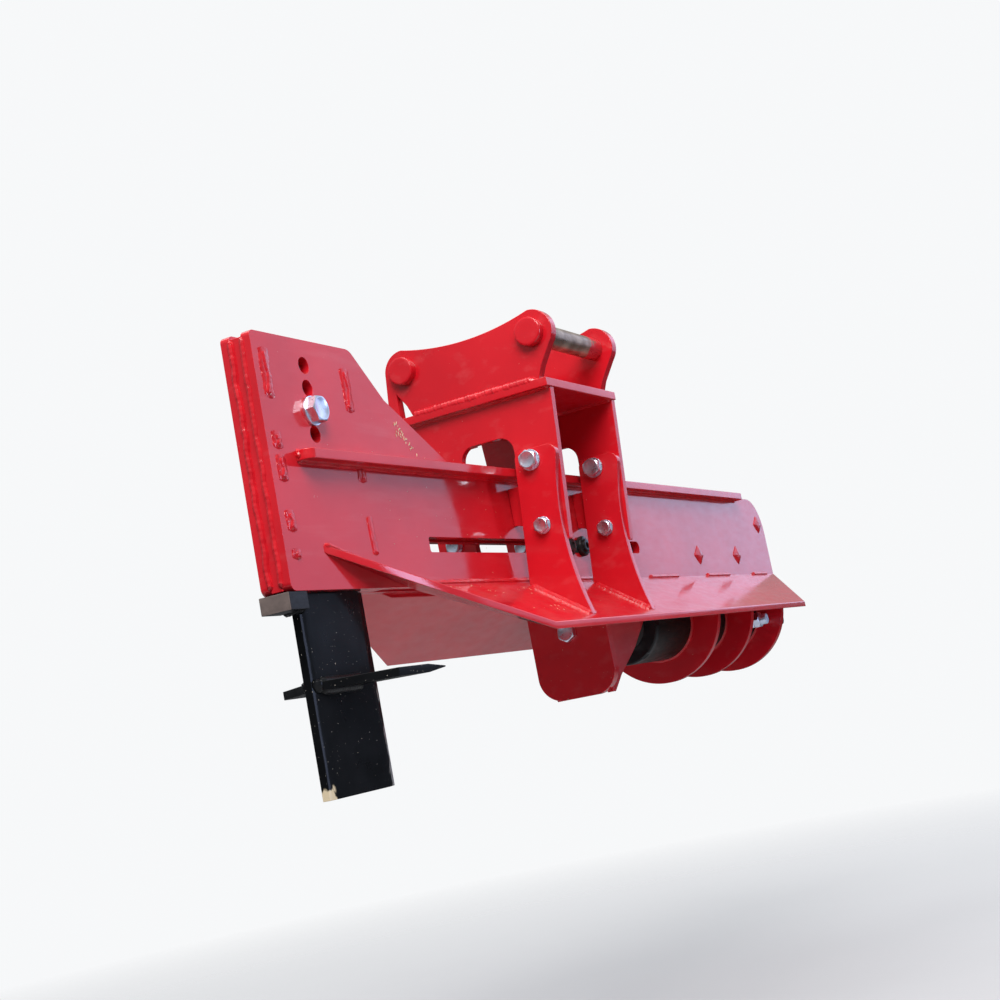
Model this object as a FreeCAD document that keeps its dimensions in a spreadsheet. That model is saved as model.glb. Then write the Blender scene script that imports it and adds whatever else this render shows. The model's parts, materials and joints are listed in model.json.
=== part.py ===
import FreeCAD, Part
import math
import os
import Sketcher

# Hydraulic log splitter that hangs from an excavator's quick hitch.
# Every sub-part is drawn in beam coordinates: X runs along the beam from the knife end to the ram end,
# Z goes up from the beam's bottom edge and Y = 0 is the middle plane (-Y is the near side).
# One shift then carries all of them into the part's own frame, whose origin is midway between the
# two hitch pins.

Vector = FreeCAD.Vector
Placement = FreeCAD.Placement
Rotation = FreeCAD.Rotation

DRIVING_SIZES = [
    # beam: two side plates with a gap for knife and pusher web
    ("plate_thick", 15.0), ("gap_half", 10.0), ("beam_length", 2045.0), ("beam_height", 190.0),
    ("beam_end_radius", 85.0), ("beam_toe_radius", 12.0), ("tower_height", 365.0), ("tower_width", 249.5),
    ("tower_corner_radius", 25.0), ("tower_rear_radius", 9.0), ("slope_mid_x", 327.0), ("slope_mid_z", 293.0),
    ("slope_foot_x", 517.0), ("slope_foot_radius", 80.0), ("slot_start", 387.0), ("slot_end", 1225.0),
    ("slot_bottom", 54.0), ("slot_top", 78.0), ("slot_end_radius", 11.5), ("slot_start_radius", 4.0),
    ("knife_hole_x", 121.0), ("knife_hole_top", 326.0), ("knife_hole_pitch", 34.0),
    ("knife_hole_radius", 12.5), ("diamond_half", 20.0), ("diamond_z", 51.0), ("diamond_first_x", 1555.0),
    ("diamond_second_x", 1806.0), ("diamond_end_x", 2001.0), ("diamond_end_z", 127.0),
    # spacer bars between the side plates
    ("pocket_rear_inset", 2.0), ("pocket_rear_end", 34.5), ("pocket_rear_top", 359.0),
    ("pocket_front_start", 190.5), ("pocket_front_end", 250.0), ("pocket_front_top", 330.0),
    ("top_bar_start", 270.0), ("top_bar_end", 1960.0), ("top_bar_bottom", 150.0), ("top_bar_top", 184.0),
    ("lower_bar_start", 1240.0), ("lower_bar_end", 2041.0), ("lower_bar_bottom", 24.0),
    ("lower_bar_top", 78.0), ("end_bar_start", 1968.0), ("end_bar_end", 2019.0), ("end_bar_bottom", 84.0),
    ("end_bar_top", 160.0), ("weld_gap", 0.5),
    # longitudinal ribs and shields
    ("top_rib_start", 62.0), ("top_rib_end", 1867.0), ("top_rib_bottom", 181.0), ("top_rib_thick", 15.0),
    ("top_rib_width", 25.0), ("top_rib_radius", 14.0), ("shield_level", 5.0), ("shield_slope", 0.674),
    ("shield_reach", 160.0), ("shield_drop", 12.0), ("shield_tip_x", 92.0), ("shield_tip_z", 64.0),
    ("shield_fold_x", 330.0), ("shield_corner_x", 500.0), ("shield_rear_corner_x", 1808.0),
    # hitch bracket
    ("gusset_front_x", 672.0), ("gusset_rear_x", 933.0), ("gusset_top", 222.0),
    ("gusset_top_inner", 58.0), ("gusset_foot_inner", 41.0), ("gusset_foot_outer", 146.0),
    ("gusset_outer", 141.0), ("gusset_waist", 122.0), ("gusset_waist_z", 58.0),
    ("gusset_corner_radius", 16.0), ("upper_hole_radius", 10.5), ("lower_hole_radius", 8.5),
    ("bracket_half_width", 143.0), ("bracket_leg_outer", 124.0), ("bracket_leg_bottom", 58.0),
    ("bracket_leg_inner", 25.5), ("bracket_notch_z", 100.0), ("bracket_notch_y", 62.0),
    ("bracket_notch_mid_y", 52.0), ("bracket_notch_mid_z", 88.0), ("bracket_waist", 134.0),
    ("bracket_waist_z", 190.0), ("arch_half_width", 52.0), ("arch_sill", 165.0), ("arch_top", 255.0),
    ("arch_radius", 26.0), ("top_plate_end", 966.0), ("top_plate_half", 145.0),
    ("top_plate_bottom", 320.0), ("top_plate_thick", 15.0), ("ear_front_x", 680.0), ("ear_rear_x", 938.0),
    ("ear_thick", 20.0), ("ear_lobe_radius", 40.0), ("ear_saddle_z", 441.0), ("ear_foot_half", 128.0),
    ("ear_neck_half", 137.0), ("ear_neck_z", 357.0), ("ear_leg_inner", 154.0), ("ear_leg_outer", 180.0),
    ("ear_leg_bottom", 302.0), ("ear_leg_root_z", 382.0), ("hitch_x", 819.0), ("hitch_z", 419.0),
    ("hitch_half_spacing", 130.0), ("hitch_pin_radius", 20.0), ("hitch_journal_radius", 17.0),
    ("hitch_cap_radius", 25.0), ("hitch_cap_thick", 16.0), ("bolt_y", 87.0), ("upper_bolt_z", 202.0),
    ("lower_bolt_z", 88.0),
    # knife
    ("knife_rear", 35.0), ("knife_front", 190.0), ("blade_front", 206.0), ("knife_half_thick", 9.5),
    ("knife_top", 342.0), ("knife_bottom", 280.0), ("knife_root", 1.0), ("knife_chamfer_long", 18.0),
    ("knife_chamfer_short", 3.5), ("knife_bevel", 26.0), ("knife_edge_half", 1.0),
    ("shoulder_start", 8.0), ("shoulder_height", 24.5), ("wing_top", 122.5), ("wing_thick", 12.0),
    ("wing_reach", 98.0), ("wing_root_rear", 45.0), ("wing_root_front", 166.0), ("wing_tip_rear", 114.0),
    ("wing_tip_front", 241.0), ("wing_bevel", 46.0),
    # ram
    ("ram_z", 88.0), ("barrel_radius", 75.0), ("bore_radius", 62.5), ("barrel_start", 1124.0),
    ("barrel_end", 1805.0), ("gland_start", 1112.0), ("gland_radius", 75.0), ("gland_spigot", 66.0),
    ("rod_radius", 40.0), ("fit_clearance", 0.05), ("wiper_thick", 6.0), ("wiper_radius", 48.0),
    ("eye_cap_thick", 35.0), ("eye_x", 1884.0), ("eye_radius", 38.0), ("eye_half_width", 23.0),
    ("rear_pin_radius", 20.0), ("rear_pin_half", 50.0), ("lug_inner", 26.0), ("lug_thick", 15.0),
    ("lug_half_length", 40.0), ("circlip_gap", 0.5), ("circlip_thick", 2.5), ("circlip_width", 5.0),
    ("rib_pitch", 206.0), ("rib_first_x", 1297.5), ("rib_thick", 15.0), ("rib_radius", 135.0),
    ("rib_centre_drop", 75.0), ("rib_bore_gap", 0.4), ("piston_start", 1712.0), ("piston_length", 56.0),
    ("rod_neck_radius", 24.0), ("rod_neck_end", 1790.0), ("seal_inset", 12.0), ("seal_depth", 5.0),
    ("seal_width", 9.0), ("seal_clearance", 0.03), ("piston_nut_thick", 18.0),
    ("piston_nut_radius", 36.0),
    # pusher
    ("face_x", 870.0), ("face_thick", 20.0), ("face_half_width", 77.0), ("face_top", 44.0),
    ("face_bottom", 207.0), ("face_radius", 45.0), ("face_crown", 10.0), ("pusher_end", 1100.0),
    ("pusher_top", 30.0), ("pusher_top_thick", 12.0), ("pusher_top_half", 57.5),
    ("pusher_gusset_outer", 57.0), ("pusher_gusset_thick", 12.0), ("pusher_gusset_heel", 82.0),
    ("pusher_gusset_low_x", 943.0), ("pusher_gusset_low_z", 179.0), ("pusher_gusset_high_x", 1026.0),
    ("pusher_gusset_high_z", 135.0), ("pusher_gusset_toe", 13.0), ("web_half", 9.0), ("web_start", 872.0),
    ("web_end", 1130.0), ("web_top", 100.0), ("web_heel", 4.0), ("shoe_start", 868.0),
    ("shoe_length", 256.0), ("shoe_gap", 0.6), ("shoe_recess", 0.5), ("guide_bolt_radius", 7.0),
    ("guide_cap_radius", 19.0), ("guide_cap_thick", 9.0), ("guide_cap_gap", 0.6),
    ("guide_head_radius", 12.5), ("guide_head_thick", 4.0), ("guide_first_x", 885.0),
    ("guide_pitch", 60.0), ("guide_rear_gap", 100.0), ("rod_bolt_depth", 45.0), ("rod_bolt_end_gap", 5.0),
    # ports, pipe and hose fittings
    ("boss_radius", 15.0), ("boss_root", 55.0), ("pipe_radius", 9.0), ("pipe_gap", 1.0), ("pipe_y", 90.0),
    ("port_z", 112.0), ("pipe_start", 1612.0), ("pipe_end", 1788.0), ("elbow_half", 14.0),
    ("elbow_corner", 17.0), ("elbow_length", 24.0), ("fitting_corner", 18.0), ("fitting_length", 14.0),
    ("hose_thread_radius", 12.0), ("hose_thread_length", 14.0), ("rod_port_x", 1212.0),
    ("rod_port_y", 92.0),
]


class Size:
    """A length together with the sheet expression that gives it."""

    def __init__(self, value, text):
        self.value = value
        self.text = text

    def __add__(self, other):
        other = as_size(other)
        return Size(self.value + other.value, "(%s + %s)" % (self.text, other.text))

    def __sub__(self, other):
        other = as_size(other)
        return Size(self.value - other.value, "(%s - %s)" % (self.text, other.text))

    def __mul__(self, other):
        other = as_size(other)
        return Size(self.value * other.value, "(%s * %s)" % (self.text, other.text))

    def __neg__(self):
        return Size(-self.value, "(0 - %s)" % self.text)

    __radd__ = __add__
    __rmul__ = __mul__

    def __rsub__(self, other):
        return as_size(other) - self


def as_size(number):
    if isinstance(number, Size):
        return number
    return Size(float(number), "%.6f" % number)


class Sizes:
    """The sheet's cells, each readable as an attribute with its alias."""


class Via:
    """A point that an arc of an outline passes through, between its neighbours."""

    def __init__(self, x, y):
        self.x = as_size(x)
        self.y = as_size(y)


doc = FreeCAD.newDocument("LogSplitter")
sheet = doc.addObject("Spreadsheet::Sheet", "Sheet")
size = Sizes()
for row, (alias, number) in enumerate(DRIVING_SIZES, start=1):
    sheet.set("A%d" % row, alias)
    sheet.set("B%d" % row, str(number))
    sheet.setAlias("B%d" % row, alias)
    setattr(size, alias, Size(number, "Sheet.%s" % alias))
doc.recompute()

sub_parts = []
HITCH_SHIFT = Placement(Vector(-size.hitch_x.value, 0, -size.hitch_z.value), Rotation())


# ---------------------------------------------------------------- helpers


def finish(thing, label):
    """Name a finished sub-part and carry it from beam coordinates into the part's frame."""
    thing.Label = label
    thing.Placement = HITCH_SHIFT
    sub_parts.append(thing)
    return thing


def origin_plane(body, role):
    return [item for item in body.Origin.OriginFeatures if item.Role == role][0]


def pin_point(sketch, geometry, position, x, y):
    """Hold one sketch point at (x, y) from the sketch's origin."""
    for kind, axis, distance in (("DistanceX", -2, as_size(x)), ("DistanceY", -1, as_size(y))):
        if distance.value == 0:
            sketch.addConstraint(Sketcher.Constraint("PointOnObject", geometry, position, axis))
            continue
        index = sketch.addConstraint(
            Sketcher.Constraint(kind, -1, 1, geometry, position, distance.value))
        sketch.setExpression("Constraints[%d]" % index, distance.text)


def add_loop(sketch, outline):
    """Draw a closed outline of (x, y) corners, with arcs through any Via point between two corners."""
    corners = [point for point in outline if not isinstance(point, Via)]
    first = None
    previous = None
    for index, corner in enumerate(outline):
        if isinstance(corner, Via):
            continue
        after = outline[(index + 1) % len(outline)]
        start = Vector(as_size(corner[0]).value, as_size(corner[1]).value, 0)
        target = outline[(index + 2) % len(outline)] if isinstance(after, Via) else after
        stop = Vector(as_size(target[0]).value, as_size(target[1]).value, 0)
        near_end, far_end = 1, 2
        if isinstance(after, Via):
            middle = Vector(after.x.value, after.y.value, 0)
            turns_left = (middle - start).cross(stop - middle).z > 0
            curve = Part.Arc(start, middle, stop) if turns_left else Part.Arc(stop, middle, start)
            if not turns_left:
                near_end, far_end = 2, 1
        else:
            curve = Part.LineSegment(start, stop)
        geometry = sketch.addGeometry(curve, False)
        pin_point(sketch, geometry, near_end, corner[0], corner[1])
        if isinstance(after, Via):
            sketch.addConstraint(Sketcher.Constraint("Radius", geometry, sketch.Geometry[geometry].Radius))
        if previous is None:
            first = (geometry, near_end)
        else:
            sketch.addConstraint(
                Sketcher.Constraint("Coincident", previous[0], previous[1], geometry, near_end))
        previous = (geometry, far_end)
    sketch.addConstraint(Sketcher.Constraint("Coincident", previous[0], previous[1], first[0], first[1]))
    return len(corners)


def add_circle(sketch, x, y, radius):
    x, y, radius = as_size(x), as_size(y), as_size(radius)
    circle = Part.Circle(Vector(x.value, y.value, 0), Vector(0, 0, 1), radius.value)
    geometry = sketch.addGeometry(circle, False)
    index = sketch.addConstraint(Sketcher.Constraint("Radius", geometry, radius.value))
    sketch.setExpression("Constraints[%d]" % index, radius.text)
    pin_point(sketch, geometry, 3, x, y)


def draw(body, name, role, loops, circles=(), offset=0):
    """Make a sketch on one of the body's origin planes, moved along the plane's normal by offset."""
    offset = as_size(offset)
    sketch = body.newObject("Sketcher::SketchObject", name)
    sketch.AttachmentSupport = (origin_plane(body, role), [""])
    sketch.MapMode = "FlatFace"
    sketch.AttachmentOffset = Placement(Vector(0, 0, offset.value), Rotation())
    sketch.setExpression("AttachmentOffset.Base.z", offset.text)
    for outline in loops:
        add_loop(sketch, outline)
    for circle in circles:
        add_circle(sketch, *circle)
    return sketch


def pad(body, sketch, length):
    feature = body.newObject("PartDesign::Pad", sketch.Name + "_pad")
    feature.Profile = sketch
    feature.Length = as_size(length).value
    feature.setExpression("Length", as_size(length).text)
    sketch.Visibility = False
    body.Tip = feature
    doc.recompute()
    return feature


def round_edges(body, base, direction, spots, radius):
    """Fillet the straight edges that run along direction through the given spots."""
    names = []
    for number, edge in enumerate(base.Shape.Edges, start=1):
        if edge.Curve.TypeId != "Part::GeomLine":
            continue
        if edge.tangentAt(edge.FirstParameter).cross(direction).Length > 1e-6:
            continue
        middle = edge.CenterOfMass
        for spot in spots:
            away = (middle - spot)
            away = away - direction * away.dot(direction)
            if away.Length < 0.2:
                names.append("Edge%d" % number)
    if len(names) < len(spots):
        raise RuntimeError("%s: %d of %d edges found" % (body.Label, len(names), len(spots)))
    feature = body.newObject("PartDesign::Fillet", body.Name + "_round_%d" % int(radius.value * 10))
    feature.Base = (base, names)
    feature.Radius = radius.value
    feature.setExpression("Radius", radius.text)
    body.Tip = feature
    doc.recompute()
    return feature


def new_body(label):
    return doc.addObject("PartDesign::Body", label)


def prism(name, role, loops, start, thick, circles=()):
    """A body padded from outline loops on a plane, from start along its normal, thick millimetres."""
    body = new_body(name)
    sketch = draw(body, name + "_outline", role, loops, circles, start)
    pad(body, sketch, thick)
    return body


def plate(label, role, loops, start, thick, circles=()):
    """One flat plate as a sub-part of its own."""
    return finish(prism(label, role, loops, start, thick, circles), label)


def rectangle(x_low, x_high, y_low, y_high):
    return [(x_low, y_low), (x_high, y_low), (x_high, y_high), (x_low, y_high)]


def mirrored(outline):
    """The same outline on the other side of the sketch's vertical axis."""
    turned = []
    for point in reversed(outline):
        if isinstance(point, Via):
            turned.append(Via(-point.x, point.y))
        else:
            turned.append((-as_size(point[0]), point[1]))
    return turned


AXIS_TURN = {
    "X": Rotation(Vector(0, 1, 0), 90),
    "-Y": Rotation(Vector(1, 0, 0), 90),
    "Y": Rotation(Vector(1, 0, 0), -90),
}


def set_start(thing, axis, start):
    spot = [as_size(value) for value in start]
    thing.Placement = Placement(Vector(*[value.value for value in spot]), AXIS_TURN[axis])
    for letter, value in zip("xyz", spot):
        thing.setExpression("Placement.Base.%s" % letter, value.text)


def rod(axis, start, radius, length):
    """A round bar from start along axis."""
    bar = doc.addObject("Part::Cylinder", "round_bar")
    for name, value in (("Radius", as_size(radius)), ("Height", as_size(length))):
        setattr(bar, name, value.value)
        bar.setExpression(name, value.text)
    set_start(bar, axis, start)
    return bar


def hexagon(axis, start, corner_radius, length):
    """A hexagonal bar from start along axis."""
    bar = doc.addObject("Part::Prism", "hex_bar")
    bar.Polygon = 6
    for name, value in (("Circumradius", as_size(corner_radius)), ("Height", as_size(length))):
        setattr(bar, name, value.value)
        bar.setExpression(name, value.text)
    set_start(bar, axis, start)
    return bar


def block(x_low, x_high, y_low, y_high, z_low, z_high):
    box = doc.addObject("Part::Box", "block")
    ends = ((x_low, x_high), (y_low, y_high), (z_low, z_high))
    for name, letter, (low, high) in zip(("Length", "Width", "Height"), "xyz", ends):
        low = as_size(low)
        span = high - low
        setattr(box, name, span.value)
        box.setExpression(name, span.text)
        box.setExpression("Placement.Base.%s" % letter, low.text)
    return box


def fuse(*things):
    joined = doc.addObject("Part::MultiFuse", "joined")
    joined.Shapes = list(things)
    joined.Refine = True
    return joined


def cut(base, tool):
    result = doc.addObject("Part::Cut", "cut")
    result.Base = base
    result.Tool = tool
    return result


def ring(axis, start, outer, inner, length):
    return cut(rod(axis, start, outer, length), rod(axis, start, inner, length))


def group(*things):
    bundle = doc.addObject("Part::Compound", "group")
    bundle.Links = list(things)
    return bundle


# ---------------------------------------------------------------- beam


gap = size.gap_half
skin = size.gap_half + size.plate_thick
SIDES = (("near", -1), ("far", 1))


def side_start(sign, inner, thick):
    """Where a plate on the XZ plane starts, so that it lies between inner and inner + thick on its side."""
    if sign < 0:
        return inner
    return -(inner + thick)


def diamond(x, z):
    half = size.diamond_half
    return [(x - half, z), (x, z - half), (x + half, z), (x, z + half)]


def make_side_plate(name, sign):
    outline = [
        (0, 0), (size.beam_length, 0), (size.beam_length, size.beam_height),
        (size.slope_foot_x, size.beam_height), (size.slope_mid_x, size.slope_mid_z),
        (size.tower_width, size.tower_height), (0, size.tower_height)]
    slot = rectangle(size.slot_start, size.slot_end, size.slot_bottom, size.slot_top)
    windows = [
        diamond(size.diamond_first_x, size.diamond_z), diamond(size.diamond_second_x, size.diamond_z),
        diamond(size.diamond_end_x, size.diamond_end_z)]
    holes = [
        (size.knife_hole_x, size.knife_hole_top - size.knife_hole_pitch * step, size.knife_hole_radius)
        for step in range(4)]
    body = new_body("side_plate_" + name)
    sketch = draw(
        body, body.Name + "_outline", "XZ_Plane", [outline, slot] + windows, holes,
        side_start(sign, gap, size.plate_thick))
    feature = pad(body, sketch, size.plate_thick)
    across = Vector(0, 1, 0)
    corners = [
        ([(0, 0)], size.beam_toe_radius),
        ([(size.beam_length, size.beam_height)], size.beam_end_radius),
        ([(size.tower_width, size.tower_height)], size.tower_corner_radius),
        ([(0, size.tower_height)], size.tower_rear_radius),
        ([(size.slope_foot_x, size.beam_height)], size.slope_foot_radius),
        ([(size.slot_end, size.slot_bottom), (size.slot_end, size.slot_top)], size.slot_end_radius),
        ([(size.slot_start, size.slot_bottom), (size.slot_start, size.slot_top)], size.slot_start_radius)]
    for spots, radius in corners:
        places = [Vector(as_size(x).value, 0, as_size(z).value) for x, z in spots]
        feature = round_edges(body, feature, across, places, radius)
    finish(body, "side_plate_" + name)


for side_name, side_sign in SIDES:
    make_side_plate(side_name, side_sign)


def make_spacer(label, x_low, x_high, z_low, z_high):
    """A flat bar that fills the gap between the side plates."""
    plate(label, "XZ_Plane", [rectangle(x_low, x_high, z_low, z_high)], -gap, gap * 2)


inset = size.pocket_rear_inset
make_spacer("pocket_rear_bar", inset, size.pocket_rear_end, inset, size.pocket_rear_top)
make_spacer("pocket_front_bar", size.pocket_front_start, size.pocket_front_end, 0, size.pocket_front_top)
make_spacer("beam_top_bar", size.top_bar_start, size.top_bar_end, size.top_bar_bottom, size.top_bar_top)
make_spacer(
    "beam_lower_bar", size.lower_bar_start, size.lower_bar_end, size.lower_bar_bottom, size.lower_bar_top)
make_spacer("beam_end_bar", size.end_bar_start, size.end_bar_end, size.end_bar_bottom, size.end_bar_top)


def make_top_rib(name, sign):
    reach = skin + size.top_rib_width
    outline = rectangle(size.top_rib_start, size.top_rib_end, -reach, -skin)
    if sign > 0:
        outline = rectangle(size.top_rib_start, size.top_rib_end, skin, reach)
    body = new_body("top_rib_" + name)
    sketch = draw(body, body.Name + "_outline", "XY_Plane", [outline], (), size.top_rib_bottom)
    feature = pad(body, sketch, size.top_rib_thick)
    outer = sign * reach.value
    ends = [Vector(size.top_rib_start.value, outer, 0), Vector(size.top_rib_end.value, outer, 0)]
    round_edges(body, feature, Vector(0, 0, 1), ends, size.top_rib_radius)
    finish(body, "top_rib_" + name)


def shield_height(distance):
    """Height of the shield's upper face at a distance from the middle plane."""
    return size.shield_level - size.shield_slope * (as_size(distance) - skin)


def make_shield(name, sign):
    """Sloping log shield with its raised nose: two flat panels that share a fold line."""
    inner = sign * skin.value
    outer = sign * size.shield_reach.value
    low = shield_height(size.shield_reach).value
    level = size.shield_level.value
    fold = Vector(size.shield_fold_x.value, inner, level)
    corner = Vector(size.shield_corner_x.value, outer, low)
    tip = Vector(size.shield_tip_x.value, inner, size.shield_tip_z.value)
    rear_inner = Vector(size.beam_length.value, inner, level)
    rear_outer = Vector(size.shield_rear_corner_x.value, outer, low)
    drop = Vector(0, 0, -size.shield_drop.value)
    panels = []
    for points in ([fold, rear_inner, rear_outer, corner], [tip, fold, corner]):
        panels.append(Part.Face(Part.makePolygon(points + [points[0]])).extrude(drop))
    shield = doc.addObject("Part::Feature", "shield_" + name)
    shield.Shape = panels[0].fuse(panels[1]).removeSplitter()
    finish(shield, "shield_" + name)


for side_name, side_sign in SIDES:
    make_top_rib(side_name, side_sign)
    make_shield(side_name, side_sign)


# ---------------------------------------------------------------- hitch bracket


def sided(outline, sign):
    """An outline drawn for the near side (negative Y), or its mirror image for the far side."""
    return outline if sign < 0 else mirrored(outline)


def bracket_holes(sign):
    """The two bolt holes on one side of the bracket, shared by its upright plates and the gussets."""
    return [
        (sign * size.bolt_y, size.upper_bolt_z, size.upper_hole_radius),
        (sign * size.bolt_y, size.lower_bolt_z, size.lower_hole_radius)]


def gusset_outline():
    foot_inner = size.gusset_foot_inner
    foot_outer = size.gusset_foot_outer
    return [
        (-foot_inner, shield_height(foot_inner)), (-size.gusset_top_inner, size.gusset_top),
        (-size.gusset_outer, size.gusset_top), Via(-size.gusset_waist, size.gusset_waist_z),
        (-foot_outer, shield_height(foot_outer))]


def make_gusset(label, front_x, sign):
    body = new_body(label)
    sketch = draw(
        body, label + "_outline", "YZ_Plane", [sided(gusset_outline(), sign)], bracket_holes(sign), front_x)
    feature = pad(body, sketch, size.plate_thick)
    tops = [
        Vector(0, sign * size.gusset_top_inner.value, size.gusset_top.value),
        Vector(0, sign * size.gusset_outer.value, size.gusset_top.value)]
    round_edges(body, feature, Vector(1, 0, 0), tops, size.gusset_corner_radius)
    finish(body, label)


for side_name, side_sign in SIDES:
    make_gusset("front_gusset_" + side_name, size.gusset_front_x, side_sign)
    make_gusset("rear_gusset_" + side_name, size.gusset_rear_x, side_sign)


def make_bracket_plate(label, front_x):
    """Upright bracket plate: two legs that straddle the beam, joined above an arch."""
    near_leg = [
        (-size.arch_half_width, size.arch_top), (-size.arch_half_width, size.arch_sill),
        (-size.bracket_leg_inner, size.arch_sill), (-size.bracket_leg_inner, size.bracket_notch_z),
        Via(-size.bracket_notch_mid_y, size.bracket_notch_mid_z),
        (-size.bracket_notch_y, size.bracket_leg_bottom), (-size.bracket_leg_outer, size.bracket_leg_bottom),
        Via(-size.bracket_waist, size.bracket_waist_z), (-size.bracket_half_width, size.top_plate_bottom)]
    body = new_body(label)
    holes = bracket_holes(-1) + bracket_holes(1)
    sketch = draw(body, label + "_outline", "YZ_Plane", [near_leg + mirrored(near_leg)], holes, front_x)
    feature = pad(body, sketch, size.plate_thick)
    arch = [Vector(0, sign * size.arch_half_width.value, size.arch_top.value) for sign in (-1, 1)]
    round_edges(body, feature, Vector(1, 0, 0), arch, size.arch_radius)
    finish(body, label)


make_bracket_plate("bracket_front_plate", size.gusset_front_x + size.plate_thick)
make_bracket_plate("bracket_rear_plate", size.gusset_rear_x + size.plate_thick)
plate(
    "bracket_top_plate", "XY_Plane",
    [rectangle(size.gusset_front_x, size.top_plate_end, -size.top_plate_half, size.top_plate_half)],
    size.top_plate_bottom, size.top_plate_thick)


def make_ear(label, start_x):
    """Ear plate: a round lobe at each pin, a saddle between them and a leg down from the far lobe."""
    foot_z = size.top_plate_bottom + size.top_plate_thick
    pin_y = size.hitch_half_spacing
    lobe = size.ear_lobe_radius
    over = lobe * math.sqrt(0.5)
    cheek_y = pin_y + lobe * math.cos(math.radians(40))
    cheek_z = size.hitch_z - lobe * math.sin(math.radians(40))
    outline = [
        (-size.ear_foot_half, foot_z), (-size.ear_neck_half, size.ear_neck_z), (-cheek_y, cheek_z),
        Via(-(pin_y + over), size.hitch_z + over), (-pin_y, size.hitch_z + lobe), Via(0, size.ear_saddle_z),
        (pin_y, size.hitch_z + lobe), Via(pin_y + over, size.hitch_z + over), (pin_y + lobe, size.hitch_z),
        (size.ear_leg_outer, size.ear_leg_bottom), (size.ear_leg_inner, size.ear_leg_bottom),
        (size.ear_leg_inner, size.ear_leg_root_z), (size.ear_neck_half, size.ear_neck_z),
        (size.ear_foot_half, foot_z)]
    bore = size.hitch_journal_radius + size.fit_clearance
    holes = [(sign * pin_y, size.hitch_z, bore) for sign in (-1, 1)]
    plate(label, "YZ_Plane", [outline], start_x, size.ear_thick, holes)


make_ear("hitch_ear_front", size.ear_front_x)
make_ear("hitch_ear_rear", size.ear_rear_x)


def make_hitch_pin(name, sign):
    """Hitch pin: full size between the ears, a smaller journal inside each ear."""
    front_inner = size.ear_front_x + size.ear_thick
    y = sign * size.hitch_half_spacing
    middle = rod("X", (front_inner, y, size.hitch_z), size.hitch_pin_radius, size.ear_rear_x - front_inner)
    whole = size.ear_rear_x + size.ear_thick - size.ear_front_x
    journals = rod("X", (size.ear_front_x, y, size.hitch_z), size.hitch_journal_radius, whole)
    finish(fuse(middle, journals), "hitch_pin_" + name)


for side_name, side_sign in SIDES:
    make_hitch_pin(side_name, side_sign)

cap_starts = (size.ear_front_x - size.hitch_cap_thick, size.ear_rear_x + size.ear_thick)
cap_ys = (-size.hitch_half_spacing, size.hitch_half_spacing)
pin_caps = [
    rod("X", (start, y, size.hitch_z), size.hitch_cap_radius, size.hitch_cap_thick)
    for start in cap_starts for y in cap_ys]
finish(group(*pin_caps), "hitch_pin_caps")


# metric hexagon fasteners: shank radius, head corner radius, head height, nut height, washer radius and
# thickness
M24 = {"shank": 12.0, "corner": 20.8, "head": 15.0, "nut": 21.5, "washer": 22.0, "washer_thick": 4.0}
M20 = {"shank": 10.0, "corner": 17.3, "head": 12.5, "nut": 18.0, "washer": 18.5, "washer_thick": 3.0}
M16 = {"shank": 8.0, "corner": 13.9, "head": 10.0, "nut": 14.8, "washer": 15.0, "washer_thick": 3.0}
THREAD_TIP = 6.0
THREAD_GAP = 0.05
WASHER_GAP = 0.4
BOLT_GAP = 0.5


def gusset_seats():
    """The four places where a gusset is bolted to a bracket plate: clamp front face and side."""
    return [(front, sign) for front in (size.gusset_front_x, size.gusset_rear_x) for sign in (-1, 1)]


def make_gusset_fasteners(label, metric, height):
    clamp = size.plate_thick * 2
    washer = metric["washer_thick"]
    reach = clamp + washer * 2 + metric["nut"] + THREAD_TIP
    bolts = []
    nuts = []
    rings = []
    for front, sign in gusset_seats():
        y = sign * size.bolt_y
        back = front + clamp
        head = hexagon("X", (front - washer - metric["head"], y, height), metric["corner"], metric["head"])
        shank = rod("X", (front - washer, y, height), metric["shank"], reach)
        bolts.append(fuse(head, shank))
        nut = hexagon("X", (back + washer, y, height), metric["corner"], metric["nut"])
        nuts.append(cut(nut, rod("X", (back, y, height), metric["shank"] + THREAD_GAP, reach)))
        hole = metric["shank"] + WASHER_GAP
        for start in (front - washer, back):
            rings.append(ring("X", (start, y, height), metric["washer"], hole, washer))
    finish(group(*bolts), label + "_gusset_bolts")
    finish(group(*nuts), label + "_gusset_nuts")
    return rings


washers = make_gusset_fasteners("upper", M20, size.upper_bolt_z)
washers += make_gusset_fasteners("lower", M16, size.lower_bolt_z)
finish(group(*washers), "gusset_washers")


# ---------------------------------------------------------------- knife


def make_knife_blade():
    """Blade below the beam with chamfered back and bevelled front edge, and the flat shank in the tower."""
    half = size.knife_half_thick
    back = size.knife_rear
    front = size.blade_front
    edge = size.knife_edge_half
    slim = half - size.knife_chamfer_short
    chamfer_end = back + size.knife_chamfer_long
    bevel_start = front - size.knife_bevel
    section = [
        (back, -slim), (chamfer_end, -half), (bevel_start, -half), (front, -edge), (front, edge),
        (bevel_start, half), (chamfer_end, half), (back, slim)]
    body = new_body("knife_blade")
    blade = draw(body, "blade_section", "XY_Plane", [section], (), -size.knife_bottom)
    pad(body, blade, size.knife_bottom - size.knife_root)
    hole = (size.knife_hole_x, size.knife_hole_top - size.knife_hole_pitch * 2, size.knife_hole_radius)
    shank_side = rectangle(back, size.knife_front, -size.knife_root, size.knife_top)
    shank = draw(body, "shank_outline", "XZ_Plane", [shank_side], [hole], -half)
    pad(body, shank, half * 2)
    finish(body, "knife_blade")


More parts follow.
